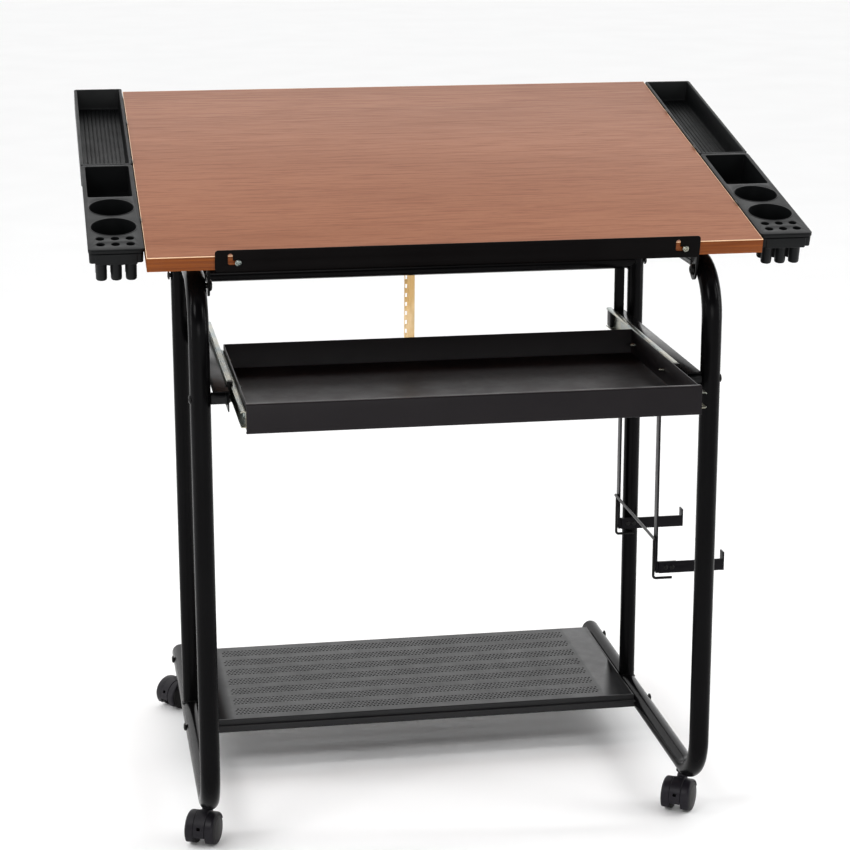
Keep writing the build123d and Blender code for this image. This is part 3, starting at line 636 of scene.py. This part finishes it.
def rear_upright(side):
    """A side's rear upright between its tube's runs, and the beads that weld it and the rail."""
    node = f"rear_upright_{side}"
    x, tube_radius, base_z, top_z = side_tube_line(side)
    low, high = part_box(node)
    radius = (high.x - low.x) / 2
    y = (low.y + high.y) / 2
    bm = bmesh.new()
    lathe(bm, [(radius, 0), (radius, top_z - base_z)], Vector((x, y, base_z)), Z, 56)
    show(f"{node}_tube", bm, node)
    rail_z, rail_radius = rail_line()[2:]
    bm = bmesh.new()
    saddle_bead(bm, Vector((x, y, base_z)), Z, Y, radius, tube_radius)
    saddle_bead(bm, Vector((x, y, top_z)), -Z, Y, radius, tube_radius)
    saddle_bead(bm, Vector((x, y, rail_z)), -sides[side] * X, Z, rail_radius, radius)
    show(f"weld_beads_{side}", bm, node, stands_for=False)


def cross_rail():
    """The rail between the two uprights."""
    ends, y, z, radius = rail_line()
    bm = bmesh.new()
    lathe(bm, [(radius, 0), (radius, ends[1] - ends[0])], Vector((ends[0], y, z)), X, 56)
    show("top_cross_rail_tube", bm, "top_cross_rail")


def domed_caps():
    """Plastic caps in the tubes' rear ends, each with a rim and a shallow dome."""
    depth, rim = 3 * MM, 0.9 * MM
    bm = bmesh.new()
    for points in solids("tube_end_caps"):
        across, heights = [p.x for p in points], [p.z for p in points]
        radius = (max(across) - min(across)) / 2
        centre = Vector(((max(across) + min(across)) / 2, 0, (max(heights) + min(heights)) / 2))
        centre.y = max(p.y for p in points) - depth
        dome = [(radius - 0.3 * MM, 0), (radius, 0.3 * MM), (radius, rim)]
        for angle in (0.4, 0.8, 1.2, pi / 2):
            dome.append((radius - 2 * MM * (1 - cos(angle)), rim + (depth - rim) * sin(angle)))
        dome.append((0.3 * MM, depth))
        lathe(bm, dome, centre, Y, 48)
    show("tube_end_caps_domed", bm, "tube_end_caps")


for side in sides:
    bent_side_tube(side)
for side in sides:
    rear_upright(side)
cross_rail()
domed_caps()

# ---- parts that keep their CAD shape, with rounded edges ----

rounded_edges = {
    0.3: ("hanger_strips", "side_rail_left", "side_rail_right")
    + ("hinge_brackets", "stay_bracket", "stay_lug"),
    0.4: ("board_panel", "rack_straps", "rack_rests", "tray_clips", "stem_sockets", "stay_keeper"),
    0.5: ("rail_spacers",),
    0.2: ("board_edge_band", "stay_catch", "stay_bar"),
}
for width, names in rounded_edges.items():
    for node in names:
        soften(node, width)

bolt_axes = (X, Y)
fasteners("frame_bolts_turned", "frame_bolts", bolt_axes, 0.5)
fasteners("hinge_bolts_turned", "hinge_bolts", (X,), 0.5)
fasteners("drawer_screws_turned", "drawer_screws", (X,), 0.42)
fasteners("board_screws_turned", "board_screws", (along, up), 0.45)
fasteners("rack_rivets_turned", "rack_rivets", (Y,), 0.4)

# ---- ledge ----

SLOT_HALF = 3 * MM
SLOT_RUN = 9.5 * MM
SLOT_RISE = 9.2 * MM


def l_slot(x, n):
    """Outline of an L-shaped slot whose run ends at x, n."""
    bend_x = x - SLOT_RUN
    inner_corner = (bend_x + SLOT_HALF, n + SLOT_HALF)
    loop = []
    arcs = (((x, n), -90, 90), ((bend_x, n + SLOT_RISE), 0, 180), ((bend_x, n), 180, 270))
    for number, (centre, start, stop) in enumerate(arcs):
        if number == 1:
            loop.append(inner_corner)
        for step in range(9):
            angle = radians(start + (stop - start) * step / 8)
            loop.append((centre[0] + SLOT_HALF * cos(angle), centre[1] + SLOT_HALF * sin(angle)))
    return loop[::-1]


def slotted_ledge():
    """Flat ledge in front of the board's edge, with a slot round each of its two screws."""
    x_range, s_range, n_range = board_range("front_ledge")
    in_front = board_s[0] - 1 * MM
    screws = [p for p in solids("board_screws") if min(along.dot(v) for v in p) < in_front]
    screw_x = sorted(sum(v.x for v in points) / len(points) for points in screws)
    slot_n = (board_n[0] - board_n[1]) / 2
    loops = [rounded_loop(x_range, n_range, 4 * MM, 8)] + [l_slot(x, slot_n) for x in screw_x]
    axes = axes_matrix(X, up, -along, on_board(0, s_range[1], 0))
    bm = bmesh.new()
    stamp(bm, flat_plate(loops, s_range[1] - s_range[0], 0.35 * MM), axes)
    show("front_ledge_plate", bm, "front_ledge")


slotted_ledge()

# ---- side trays ----

RIBS = 9
RIB_PITCH = 5.4 * MM
CUP_RADIUS, CUP_DEPTH = 27.5 * MM, 38 * MM
PEN_RADIUS, PEN_DEPTH = 5.2 * MM, 44 * MM
POCKET_DEPTH = 39 * MM
SKIRT_DEPTH = 18 * MM
POCKET_S = (174 * MM, 282 * MM)
CUPS_S = (137 * MM, 73 * MM)
PENS_S = (35.5 * MM, 17.5 * MM)
PEN_PITCH = 18 * MM


def levels(profile):
    """A profile of (inset, level, lift), inset and lift in mm, as (inset, height) in metres."""
    return [(inset * MM, level + lift * MM) for inset, level, lift in profile]


def moulded_bin(side):
    """Long tray: one closed shell with a rounded rim, drafted well and ribbed floor."""
    node = f"tray_bin_{side}"
    x_range, s_range, n_range = board_range(node)
    low, top = n_range
    profile = [(4, low, 0), (1.4, low, 0.1), (0.5, low, 0.7), (0.2, low, 2), (0, top, -1.6)]
    profile += [(0, top, -0.5), (0.2, top, -0.15), (0.6, top, 0), (3.2, top, 0), (3.7, top, -0.2)]
    profile += [(4, top, -0.7), (4.7, low, 5), (5.1, low, 3.2), (5.8, low, 2.3), (7.2, low, 2)]
    bm = bmesh.new()
    loft(bm, inset_rings(x_range, s_range, 3.5 * MM, levels(profile), on_board))
    rib_foot = low + 1.8 * MM
    rib_s = (s_range[0] + 8 * MM, s_range[1] - 8 * MM)
    rib_angles = (0, 0.5, 1.05, pi / 2, 2.1, 2.65, pi)
    for number in range(RIBS):
        x = sum(x_range) / 2 + (number - (RIBS - 1) / 2) * RIB_PITCH
        section = [(x + 0.9 * MM * cos(a), rib_foot + 1.1 * MM * sin(a)) for a in rib_angles]
        loft(bm, [[on_board(u, s, v) for u, v in section] for s in rib_s])
    show(f"{node}_moulded", bm, node)


def turned_cup(bm, x, s, top, radius, depth, wall, rim):
    """A round pocket under the caddy's face: outer wall, bottom, and inside with a soft corner."""
    bottom, under, lip = top - depth, top - depth - wall, top + rim
    outer = radius + wall
    outline = [
        (0.3 * MM, under),
        (outer - 2.2 * MM, under),
        (outer - 0.6 * MM, under + 0.6 * MM),
        (outer, under + 2.2 * MM),
        (outer, lip - 0.3 * MM),
        (outer - 0.4 * MM, lip),
        (radius + 0.4 * MM, lip),
        (radius, lip - 0.4 * MM),
        (radius - 0.5 * MM, bottom + 2.4 * MM),
        (radius - 1.2 * MM, bottom + 0.8 * MM),
        (radius - 2.6 * MM, bottom),
        (0.3 * MM, bottom),
    ]
    lathe(bm, outline, on_board(x, s, 0), up, 56)


def caddy_face(bm, x_range, s_range, pocket, holes, face):
    """The caddy's top plate with its square opening and its round ones."""
    loops = [rounded_loop(x_range, s_range, 5 * MM, 8), rounded_loop(*pocket, 3 * MM)[::-1]]
    for x, s, radius, steps in holes:
        loops.append([(x + radius * cos(a), s - radius * sin(a)) for a in circle(steps)])
    thickness = 2.4 * MM
    plate_axes = axes_matrix(X, along, up, on_board(0, 0, face - thickness))
    stamp(bm, flat_plate(loops, thickness, 0.6 * MM), plate_axes)


def caddy_skirt(bm, x_range, s_range, face, skirt_low):
    """The stepped wall round the caddy and the raised panel at its front."""
    skirt = [(2.3, face, -2.0), (2.9, skirt_low, 0.3), (2.6, skirt_low, 0), (1.5, skirt_low, 0)]
    skirt += [(1.2, skirt_low, 0.3), (0.9, face, -6.6), (1.7, face, -6.1), (1.7, face, -5.3)]
    skirt += [(0.3, face, -4.9), (0, face, -4.5), (0, face, -1.2), (0.6, face, -0.9)]
    skirt += [(2.3, face, -0.9), (2.3, face, -2.0)]
    loft(bm, inset_rings(x_range, s_range, 5 * MM, levels(skirt), on_board), capped=False)
    panel_x = (x_range[0] + 8 * MM, x_range[1] - 8 * MM)
    panel_n = (skirt_low - 1.8 * MM, face - 6.4 * MM)

    def from_front(x, n, depth):
        return on_board(x, s_range[0] + depth, n)

    bulge = levels([(0, 0, 6.0), (0, 0, 0.9), (0.3, 0, 0.5), (0.9, 0, 0.3)])
    loft(bm, inset_rings(panel_x, panel_n, 2 * MM, bulge, from_front))


def caddy_pocket(bm, pocket, face, pocket_low):
    """The square pocket under the caddy's face."""
    profile = [(4, pocket_low, 0), (1.6, pocket_low, 0.1), (1.0, pocket_low, 0.8), (0, face, -1.4)]
    profile += [(2, face, -1.4), (2, face, -2.0), (3.4, pocket_low, 5), (3.8, pocket_low, 2.8)]
    profile += [(5.4, pocket_low, 2)]
    outer_x, outer_s = ((ends[0] - 2 * MM, ends[1] + 2 * MM) for ends in pocket)
    loft(bm, inset_rings(outer_x, outer_s, 4 * MM, levels(profile), on_board))


def moulded_caddy(side):
    """Caddy: face plate with its openings, a skirt, a square pocket, two cups and six sockets."""
    node = f"tray_caddy_{side}"
    x_range, s_range = board_range(node)[:2]
    face = board_range(f"tray_bin_{side}")[2][1]
    middle, front = sum(x_range) / 2, s_range[0]
    pocket_x = (x_range[0] + 5.5 * MM, x_range[1] - 5.5 * MM)
    pocket = (pocket_x, tuple(front + s for s in POCKET_S))
    cups = [(middle, front + s) for s in CUPS_S]
    pens = [(middle + step * PEN_PITCH, front + s) for s in PENS_S for step in (-1, 0, 1)]
    holes = [(*place, CUP_RADIUS, 72) for place in cups]
    holes += [(*place, PEN_RADIUS, 28) for place in pens]
    bm = bmesh.new()
    caddy_face(bm, x_range, s_range, pocket, holes, face)
    caddy_skirt(bm, x_range, s_range, face, face - SKIRT_DEPTH)
    caddy_pocket(bm, pocket, face, face - POCKET_DEPTH)
    for x, s in cups:
        turned_cup(bm, x, s, face, CUP_RADIUS, CUP_DEPTH, 2 * MM, 0.3 * MM)
    for x, s in pens:
        turned_cup(bm, x, s, face, PEN_RADIUS, PEN_DEPTH, 1.6 * MM, -0.6 * MM)
    show(f"{node}_moulded", bm, node)


for side in sides:
    moulded_bin(side)
    moulded_caddy(side)

# ---- drawer and its slides ----

SHEET = 1.2 * MM


def folded_drawer():
    """Pan with rounded folds, and a front panel that is rolled over along its top."""
    low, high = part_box("drawer_pan")
    wall_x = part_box("slide_inner_right")[0].x
    floor, rim = low.z + 0.5 * MM, high.z - 1.5 * MM
    profile = [(5, floor, 0), (1.6, floor, 0.1), (0.5, floor, 0.6), (0, floor, 1.8)]
    profile += [(0, rim, -0.3), (0.2, rim, 0), (1, rim, 0), (1.2, rim, -0.3)]
    profile += [(1.2, floor, 2.6), (1.6, floor, 1.6), (3, floor, 1.2), (6, floor, 1.2)]
    bm = bmesh.new()
    y_range = (low.y + SHEET, high.y)
    loft(bm, inset_rings((-wall_x, wall_x), y_range, 1.4 * MM, levels(profile), along_z))
    middle = SHEET / 2
    lip_y = low.y + 9 * MM - middle
    section = [
        (low.y + 7 * MM, low.z + middle),
        (low.y + middle, low.z + middle),
        (low.y + middle, high.z - middle),
        (lip_y, high.z - middle),
        (lip_y, high.z - 5 * MM),
    ]
    bent_sheet(bm, section, 1.1 * MM, SHEET, along_x, (low.x, high.x))
    show("drawer_pan_folded", bm, "drawer_pan")


def rolled_slide(side, node, lip, reach, half_height):
    """A slide rail: flat web with its two edges rolled over the ball race."""
    low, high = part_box(f"{node}_{side}")
    sign = sides[side]
    if node == "slide_outer":
        web = max(abs(low.x), abs(high.x)) - 0.6 * MM
        tip = web - reach
    else:
        web = min(abs(low.x), abs(high.x)) + 0.6 * MM
        tip = web + reach
    z = (low.z + high.z) / 2
    section = [(tip, half_height - lip), (tip, half_height), (web, half_height)]
    section += [(u, -v) for u, v in section[::-1]]

    def place(u, v, y):
        return Vector((sign * u, y, z + v))

    bm = bmesh.new()
    bent_sheet(bm, section, 1.2 * MM, 1.1 * MM, place, (low.y, high.y))
    show(f"{node}_{side}_rolled", bm, f"{node}_{side}")


def slide_bumper(side):
    """Black end block in the back of a slide's outer channel, behind the shut drawer's slide."""
    low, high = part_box(f"slide_outer_{side}")
    web, mouth = max(abs(low.x), abs(high.x)) - 1.2 * MM, min(abs(low.x), abs(high.x)) + 1.0 * MM
    x_range = tuple(sorted((sides[side] * web, sides[side] * mouth)))
    middle_z, half_height = (low.z + high.z) / 2, 11.5 * MM
    z_range = (middle_z - half_height, middle_z + half_height)
    shut_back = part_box(f"slide_inner_{side}")[1].y - joints["drawer_slide"]["range_m"][0]
    front, back = shut_back + 1.5 * MM, high.y - 1 * MM
    profile = [(0.8, front, 0.0), (0.2, front, 0.3), (0.0, front, 1.0)]
    profile += [(0.0, back, -1.6), (0.2, back, -0.6), (1.0, back, 0.0)]
    bm = bmesh.new()
    loft(bm, inset_rings(x_range, z_range, 1.5 * MM, levels(profile), along_y))
    show(f"slide_bumper_{side}", bm, "slide_stops", stands_for=False)


folded_drawer()
for side in sides:
    slide_bumper(side)
    rolled_slide(side, "slide_outer", 1.9 * MM, 6.6 * MM, 13.4 * MM)
    rolled_slide(side, "slide_inner", 1.6 * MM, 6.2 * MM, 9.4 * MM)

# ---- perforated shelf ----

BANDS = 7
HOLE_ROWS = 4
HOLE_PITCH = 5.4 * MM
ROW_PITCH = 6.2 * MM
HOLE_RADIUS = 1.7 * MM
HOLE_STEPS = 12
BARE_END = 43 * MM
FOLD = 3 * MM
FLANGE_INSET, LIP_PROUD, LIP_DROP = 1.8 * MM, 2.4 * MM, 7.5 * MM


def slab(bm, x_range, y_range, z_range):
    """A plain rectangle of sheet."""
    (left, right), (front, back) = x_range, y_range
    outline = ((left, front), (right, front), (right, back), (left, back))
    loft(bm, [[along_z(u, v, z) for u, v in outline] for z in z_range])


def square_corner(box, first, second):
    """The corner of a cell between two points of its rim, or None where they share an edge."""

    def in_line(a, b):
        return min(abs(a[0] - b[0]), abs(a[1] - b[1])) < 0.001 * MM

    if in_line(first, second):
        return None
    return next((c for c in box if in_line(c, first) and in_line(c, second)), None)


def holed_cell(bm, x_range, y_range, z_range):
    """A rectangle of sheet with a round hole through its middle, open at its own four sides."""
    (left, right), (front, back) = x_range, y_range
    low_z, high_z = z_range
    box = ((left, front), (right, front), (right, back), (left, back))
    x, y = (left + right) / 2, (front + back) / 2
    hole, rim = [], []
    for angle in circle(HOLE_STEPS):
        across, deep = cos(angle), sin(angle)
        to_side = (right - left) / 2 / max(abs(across), 1e-6)
        to_end = (back - front) / 2 / max(abs(deep), 1e-6)
        reach = min(to_side, to_end)
        hole.append((x + HOLE_RADIUS * across, y + HOLE_RADIUS * deep))
        rim.append((x + reach * across, y + reach * deep))
    for i in range(HOLE_STEPS):
        j = (i + 1) % HOLE_STEPS
        corner = square_corner(box, rim[i], rim[j])
        outline = [rim[i]] + ([corner] if corner else []) + [rim[j], hole[j], hole[i]]
        for z, direction in ((high_z, 1), (low_z, -1)):
            face = [along_z(u, v, z) for u, v in outline]
            bm.faces.new([bm.verts.new(p) for p in face[::direction]])
        wall = [(*hole[i], high_z), (*hole[j], high_z), (*hole[j], low_z), (*hole[i], low_z)]
        bm.faces.new([bm.verts.new(p) for p in wall])


def perforated_row(bm, x_range, y_range, z_range, shift):
    """One row of round holes through a strip of sheet, each in its own cell."""
    count = int((x_range[1] - x_range[0]) / HOLE_PITCH) - 1
    start = sum(x_range) / 2 - count * HOLE_PITCH / 2 + shift
    edges = [start + i * HOLE_PITCH for i in range(count + 1)]
    slab(bm, (x_range[0], edges[0]), y_range, z_range)
    for cell in zip(edges, edges[1:]):
        holed_cell(bm, cell, y_range, z_range)
    slab(bm, (edges[-1], x_range[1]), y_range, z_range)


def shelf_deck(bm, x_range, y_range, z_range):
    """The shelf's flat top: bands of staggered holes with plain sheet between and around them."""
    holed_x = (x_range[0] + BARE_END - FOLD, x_range[1] - BARE_END + FOLD)
    margin = 6 * MM
    band_pitch = (y_range[1] - y_range[0] - 2 * margin) / BANDS
    band_depth = HOLE_ROWS * ROW_PITCH
    plain_from = y_range[0]
    for band in range(BANDS):
        band_start = y_range[0] + margin + band * band_pitch + (band_pitch - band_depth) / 2
        slab(bm, holed_x, (plain_from, band_start), z_range)
        for row in range(HOLE_ROWS):
            row_y = (band_start + row * ROW_PITCH, band_start + (row + 1) * ROW_PITCH)
            shift = HOLE_PITCH / 4 if row % 2 else -HOLE_PITCH / 4
            perforated_row(bm, holed_x, row_y, z_range, shift)
        plain_from = band_start + band_depth
    slab(bm, holed_x, (plain_from, y_range[1]), z_range)
    slab(bm, (x_range[0], holed_x[0]), y_range, z_range)
    slab(bm, (holed_x[1], x_range[1]), y_range, z_range)


def perforated_shelf():
    """Shelf: stepped front and back flanges, side walls, and a deck with small holes."""
    low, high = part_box("bottom_shelf")
    front, back = low.y + FLANGE_INSET, high.y - FLANGE_INSET
    deck_x, deck_y = (low.x + FOLD, high.x - FOLD), (front + FOLD, back - FOLD)
    bm = bmesh.new()
    shelf_deck(bm, deck_x, deck_y, (high.z - SHEET, high.z))
    middle = SHEET / 2
    top, step, foot = high.z - middle, high.z - LIP_DROP - middle, low.z + middle
    for edge, inward in ((front, 1), (back, -1)):
        wall, lip = edge + inward * middle, edge - inward * (FLANGE_INSET + LIP_PROUD - middle)
        section = [(edge + inward * FOLD, top), (wall, top), (wall, step), (lip, step)]
        section += [(lip, foot), (edge + inward * 8 * MM, foot)]
        bent_sheet(bm, section, 0.75 * MM, SHEET, along_x, (low.x, high.x))
    for edge, inward in ((low.x, 1), (high.x, -1)):
        wall = edge + inward * middle
        section = [(edge + inward * FOLD, top), (wall, top), (wall, foot)]
        bent_sheet(bm, section, 0.9 * MM, SHEET, along_y, deck_y)
    bmesh.ops.remove_doubles(bm, verts=bm.verts, dist=0.005 * MM)
    show("bottom_shelf_perforated", bm, "bottom_shelf")


perforated_shelf()

# ---- casters ----

# Angles are about the wheels' hub, from the way the caster heads, over the top, in degrees.
HOOD_START, HOOD_STOP, NOTCH_STOP = 22, 214, 193
HOOD_HOLE = (157, 167)
ARC_STEP = 6
# Sizes of the hood are in mm. Places along the axle are from the middle of the caster.
HOLE_HALF = 2.3
INSIDE_RADIUS, RAISED_RADIUS = 21.6, 23.5
WEB_HALF, WEB_RADIUS, HUB_RADIUS, HOLE_FLOOR_RADIUS = 4, 21.8, 8.0, 15.0


def hood_band(bm, at, section, start, stop):
    """Part of a hood's shell: a section of (along the axle, radius) in mm swept between angles."""
    steps = round((stop - start) / ARC_STEP)
    angles = [radians(start + (stop - start) * step / steps) for step in range(steps + 1)]
    loft(bm, [[at(t, r, angle) for t, r in section] for angle in angles])


def hood_covers(bm, at):
    """The two outer covers, and the raised middle that stops short for the notch at its foot."""
    cover = [(8.0, 21.4), (8.0, 22.7), (8.3, 23.0), (16.0, 23.0), (17.8, 22.7), (18.9, 22.0)]
    cover += [(19.5, 21.0), (18.9, 20.6), (17.6, 21.2), (16.0, 21.4)]
    raised = [(HOLE_HALF, INSIDE_RADIUS), (HOLE_HALF, RAISED_RADIUS), (7.1, RAISED_RADIUS)]
    raised += [(7.6, 23.1), (7.6, 22.2), (8.2, 22.2), (8.2, INSIDE_RADIUS)]
    for section, stop in ((cover, HOOD_STOP), (raised, NOTCH_STOP)):
        for direction in (1, -1):
            hood_band(bm, at, [(direction * t, r) for t, r in section], HOOD_START, stop)
    middle = [(-HOLE_HALF, INSIDE_RADIUS), (-HOLE_HALF, RAISED_RADIUS)]
    middle += [(HOLE_HALF, RAISED_RADIUS), (HOLE_HALF, INSIDE_RADIUS)]
    hood_band(bm, at, middle, HOOD_START, HOOD_HOLE[0])
    hood_band(bm, at, middle, HOOD_HOLE[1], NOTCH_STOP)


def moulded_hood(corner):
    """Hood over a pair of wheels: its covers, the web that carries the axle, and a boss."""
    node = f"caster_hood_{corner}"
    hub = Vector(joints[f"roll_{corner}"]["pos_m"])
    axle = Vector(joints[f"roll_{corner}"]["axis"]).normalized()
    stem = Vector(joints[f"swivel_{corner}"]["pos_m"])
    lead = Vector((stem.x - hub.x, stem.y - hub.y, 0)).normalized()

    def at(t, r, angle):
        return hub + axle * t * MM + (lead * cos(angle) + Z * sin(angle)) * r * MM

    bm = bmesh.new()
    hood_covers(bm, at)
    recess = range(HOOD_HOLE[0] - 1, HOOD_HOLE[1] + 2)
    web = []
    for angle in range(HOOD_START, NOTCH_STOP + 1, 3):
        web.append((angle, HOLE_FLOOR_RADIUS if angle in recess else WEB_RADIUS))
    for angle in range(NOTCH_STOP + 2, HOOD_START + 359, 5):
        web.append((angle, HUB_RADIUS))
    loft(bm, [[at(t, r, radians(a)) for a, r in web] for t in (-WEB_HALF, WEB_HALF)])
    boss = ((7.4, 36.0), (7.0, 41.5), (6.2, 44.8), (5.6, 45.8), (4.6, 46.0))
    foot = Vector((stem.x, stem.y, 0))
    lathe(bm, [(r * MM, z * MM) for r, z in boss], foot, Z, 40)
    show(f"{node}_moulded", bm, node)


def turned_wheels(corner):
    """A pair of wheels: rounded tread, a rim groove and a slightly domed face."""
    node = f"caster_wheels_{corner}"
    hub = Vector(joints[f"roll_{corner}"]["pos_m"])
    axle = Vector(joints[f"roll_{corner}"]["axis"])
    half = (extent(node, axle)[1] - extent(node, axle)[0]) / 2
    inner, outer = 6.5 * MM, half - 2 * MM
    bore = (hub.z - 3.2 * MM) / MM
    from_rim = [(bore, inner, 0), (2.2, inner, 0), (0.7, inner, 0.4), (0.0, inner, 1.6)]
    from_rim += [(0.0, outer, -3.0), (0.3, outer, -1.6), (1.0, outer, -0.5), (2.0, outer, 0.0)]
    from_rim += [(3.2, outer, 0.1), (3.5, outer, -0.5), (4.2, outer, -0.5), (4.5, outer, 0.2)]
    from_rim += [(9.0, outer, 1.1), (14.0, outer, 1.7), (17.0, outer, 1.9), (19.7, outer, 1.95)]
    outline = [(hub.z - inset, height) for inset, height in levels(from_rim)]
    bm = bmesh.new()
    for direction in (axle, -axle):
        lathe(bm, outline, hub, direction, 72)
    show(f"{node}_turned", bm, node)


for corner in corners:
    moulded_hood(corner)
    turned_wheels(corner)

# ---- carried-over CAD nodes ----

for name, node in frame["nodes"].items():
    if not node.hide_render:
        node.data.materials.clear()
        node.data.materials.append(look[slot_of[name]])

# ---- studio ----

FLOOR_REACH = 40.0
TABLE_MIDDLE = (0, 0, 0.45)
BRIGHT_SIDE = (0.0, 1.0, 0.9)
ROOM_DARK, ROOM_WHITE = (0.03, 0.03, 0.032), (1.0, 1.0, 1.0)
# Each soft box: place, width, height and power.
LIGHTS = {
    "key_box": ((-2.0, -2.0, 2.6), 0.9, 0.9, 22),
    "fill_box": ((2.2, -1.6, 2.2), 0.7, 0.9, 12),
    "front_box": ((-0.4, -3.4, 1.0), 1.6, 1.0, 15),
    "strip_left": ((-2.2, -0.2, 1.3), 0.16, 2.2, 13),
    "strip_right": ((2.1, -0.4, 1.3), 0.16, 2.2, 13),
}


def floor():
    """Plain pale floor."""
    bm = bmesh.new()
    bmesh.ops.create_grid(bm, x_segments=8, y_segments=8, size=FLOOR_REACH)
    material, tree, shader = start_look("floor_paper", specular=0.1)
    tone = remap(tree, noise(tree, coordinates(tree), 3.0, 3.0), (0.3, 0.7), (0.0, 1.0))
    colour = blend_colours(tree, tone, (0.93, 0.93, 0.93), (0.95, 0.95, 0.95))
    tree.links.new(colour, shader.inputs["Base Color"])
    shader.inputs["Roughness"].default_value = 0.9
    plane = add_object("floor", mesh_from("floor", bm))
    plane.data.materials.append(material)


def soft_light(name, place, width, height, power):
    """A rectangular soft box that faces the table."""
    light = bpy.data.lights.new(name, "AREA")
    light.shape = "RECTANGLE"
    light.size, light.size_y = width, height
    light.energy = power
    holder = add_object(name, light)
    holder.location = place
    holder.rotation_mode = "QUATERNION"
    holder.rotation_quaternion = (Vector(TABLE_MIDDLE) - Vector(place)).to_track_quat("-Z", "Y")


def studio_world():
    """White above, behind the table and along the horizon, and dark on the viewer's side."""
    world = bpy.data.worlds.new("studio")
    bpy.context.scene.world = world
    world.use_nodes = True
    tree = world.node_tree
    source = tree.nodes.new("ShaderNodeTexCoord")
    reach = tree.nodes.new("ShaderNodeVectorMath")
    reach.operation = "DOT_PRODUCT"
    reach.inputs[1].default_value = BRIGHT_SIDE
    tree.links.new(source.outputs["Generated"], reach.inputs[0])
    lit = remap(tree, reach.outputs["Value"], (0.1, 0.9), (0.0, 1.0))
    height = tree.nodes.new("ShaderNodeSeparateXYZ")
    tree.links.new(source.outputs["Generated"], height.inputs["Vector"])
    horizon = remap(tree, height.outputs["Z"], (0.19, 0.30), (0.78, 0.0))
    brighter = tree.nodes.new("ShaderNodeMath")
    brighter.operation = "MAXIMUM"
    tree.links.new(lit, brighter.inputs[0])
    tree.links.new(horizon, brighter.inputs[1])
    colour = blend_colours(tree, brighter.outputs["Value"], ROOM_DARK, ROOM_WHITE)
    background = tree.nodes["Background"]
    tree.links.new(colour, background.inputs["Color"])
    background.inputs["Strength"].default_value = 1.3


def camera():
    """The viewer stands a little to the left and looks slightly down."""
    place = Vector((-0.50218, -2.98691, 1.29157))
    turn_right, look_down, lean = radians(9.4948), radians(14.6307), radians(-0.066)
    data = bpy.data.cameras.new("camera")
    data.lens = 97.99
    data.sensor_width = 36
    holder = add_object("camera", data)
    ahead = X * sin(turn_right) * cos(look_down) + Y * cos(turn_right) * cos(look_down)
    ahead -= Z * sin(look_down)
    turn = ahead.to_track_quat("-Z", "Y").to_matrix().to_4x4()
    holder.matrix_world = Matrix.Translation(place) @ turn @ Matrix.Rotation(lean, 4, "Z")
    bpy.context.scene.camera = holder


floor()
studio_world()
for name, values in LIGHTS.items():
    soft_light(name, *values)
camera()
bpy.context.scene.view_settings.view_transform = "Standard"
bpy.context.scene.view_settings.look = "Medium High Contrast"
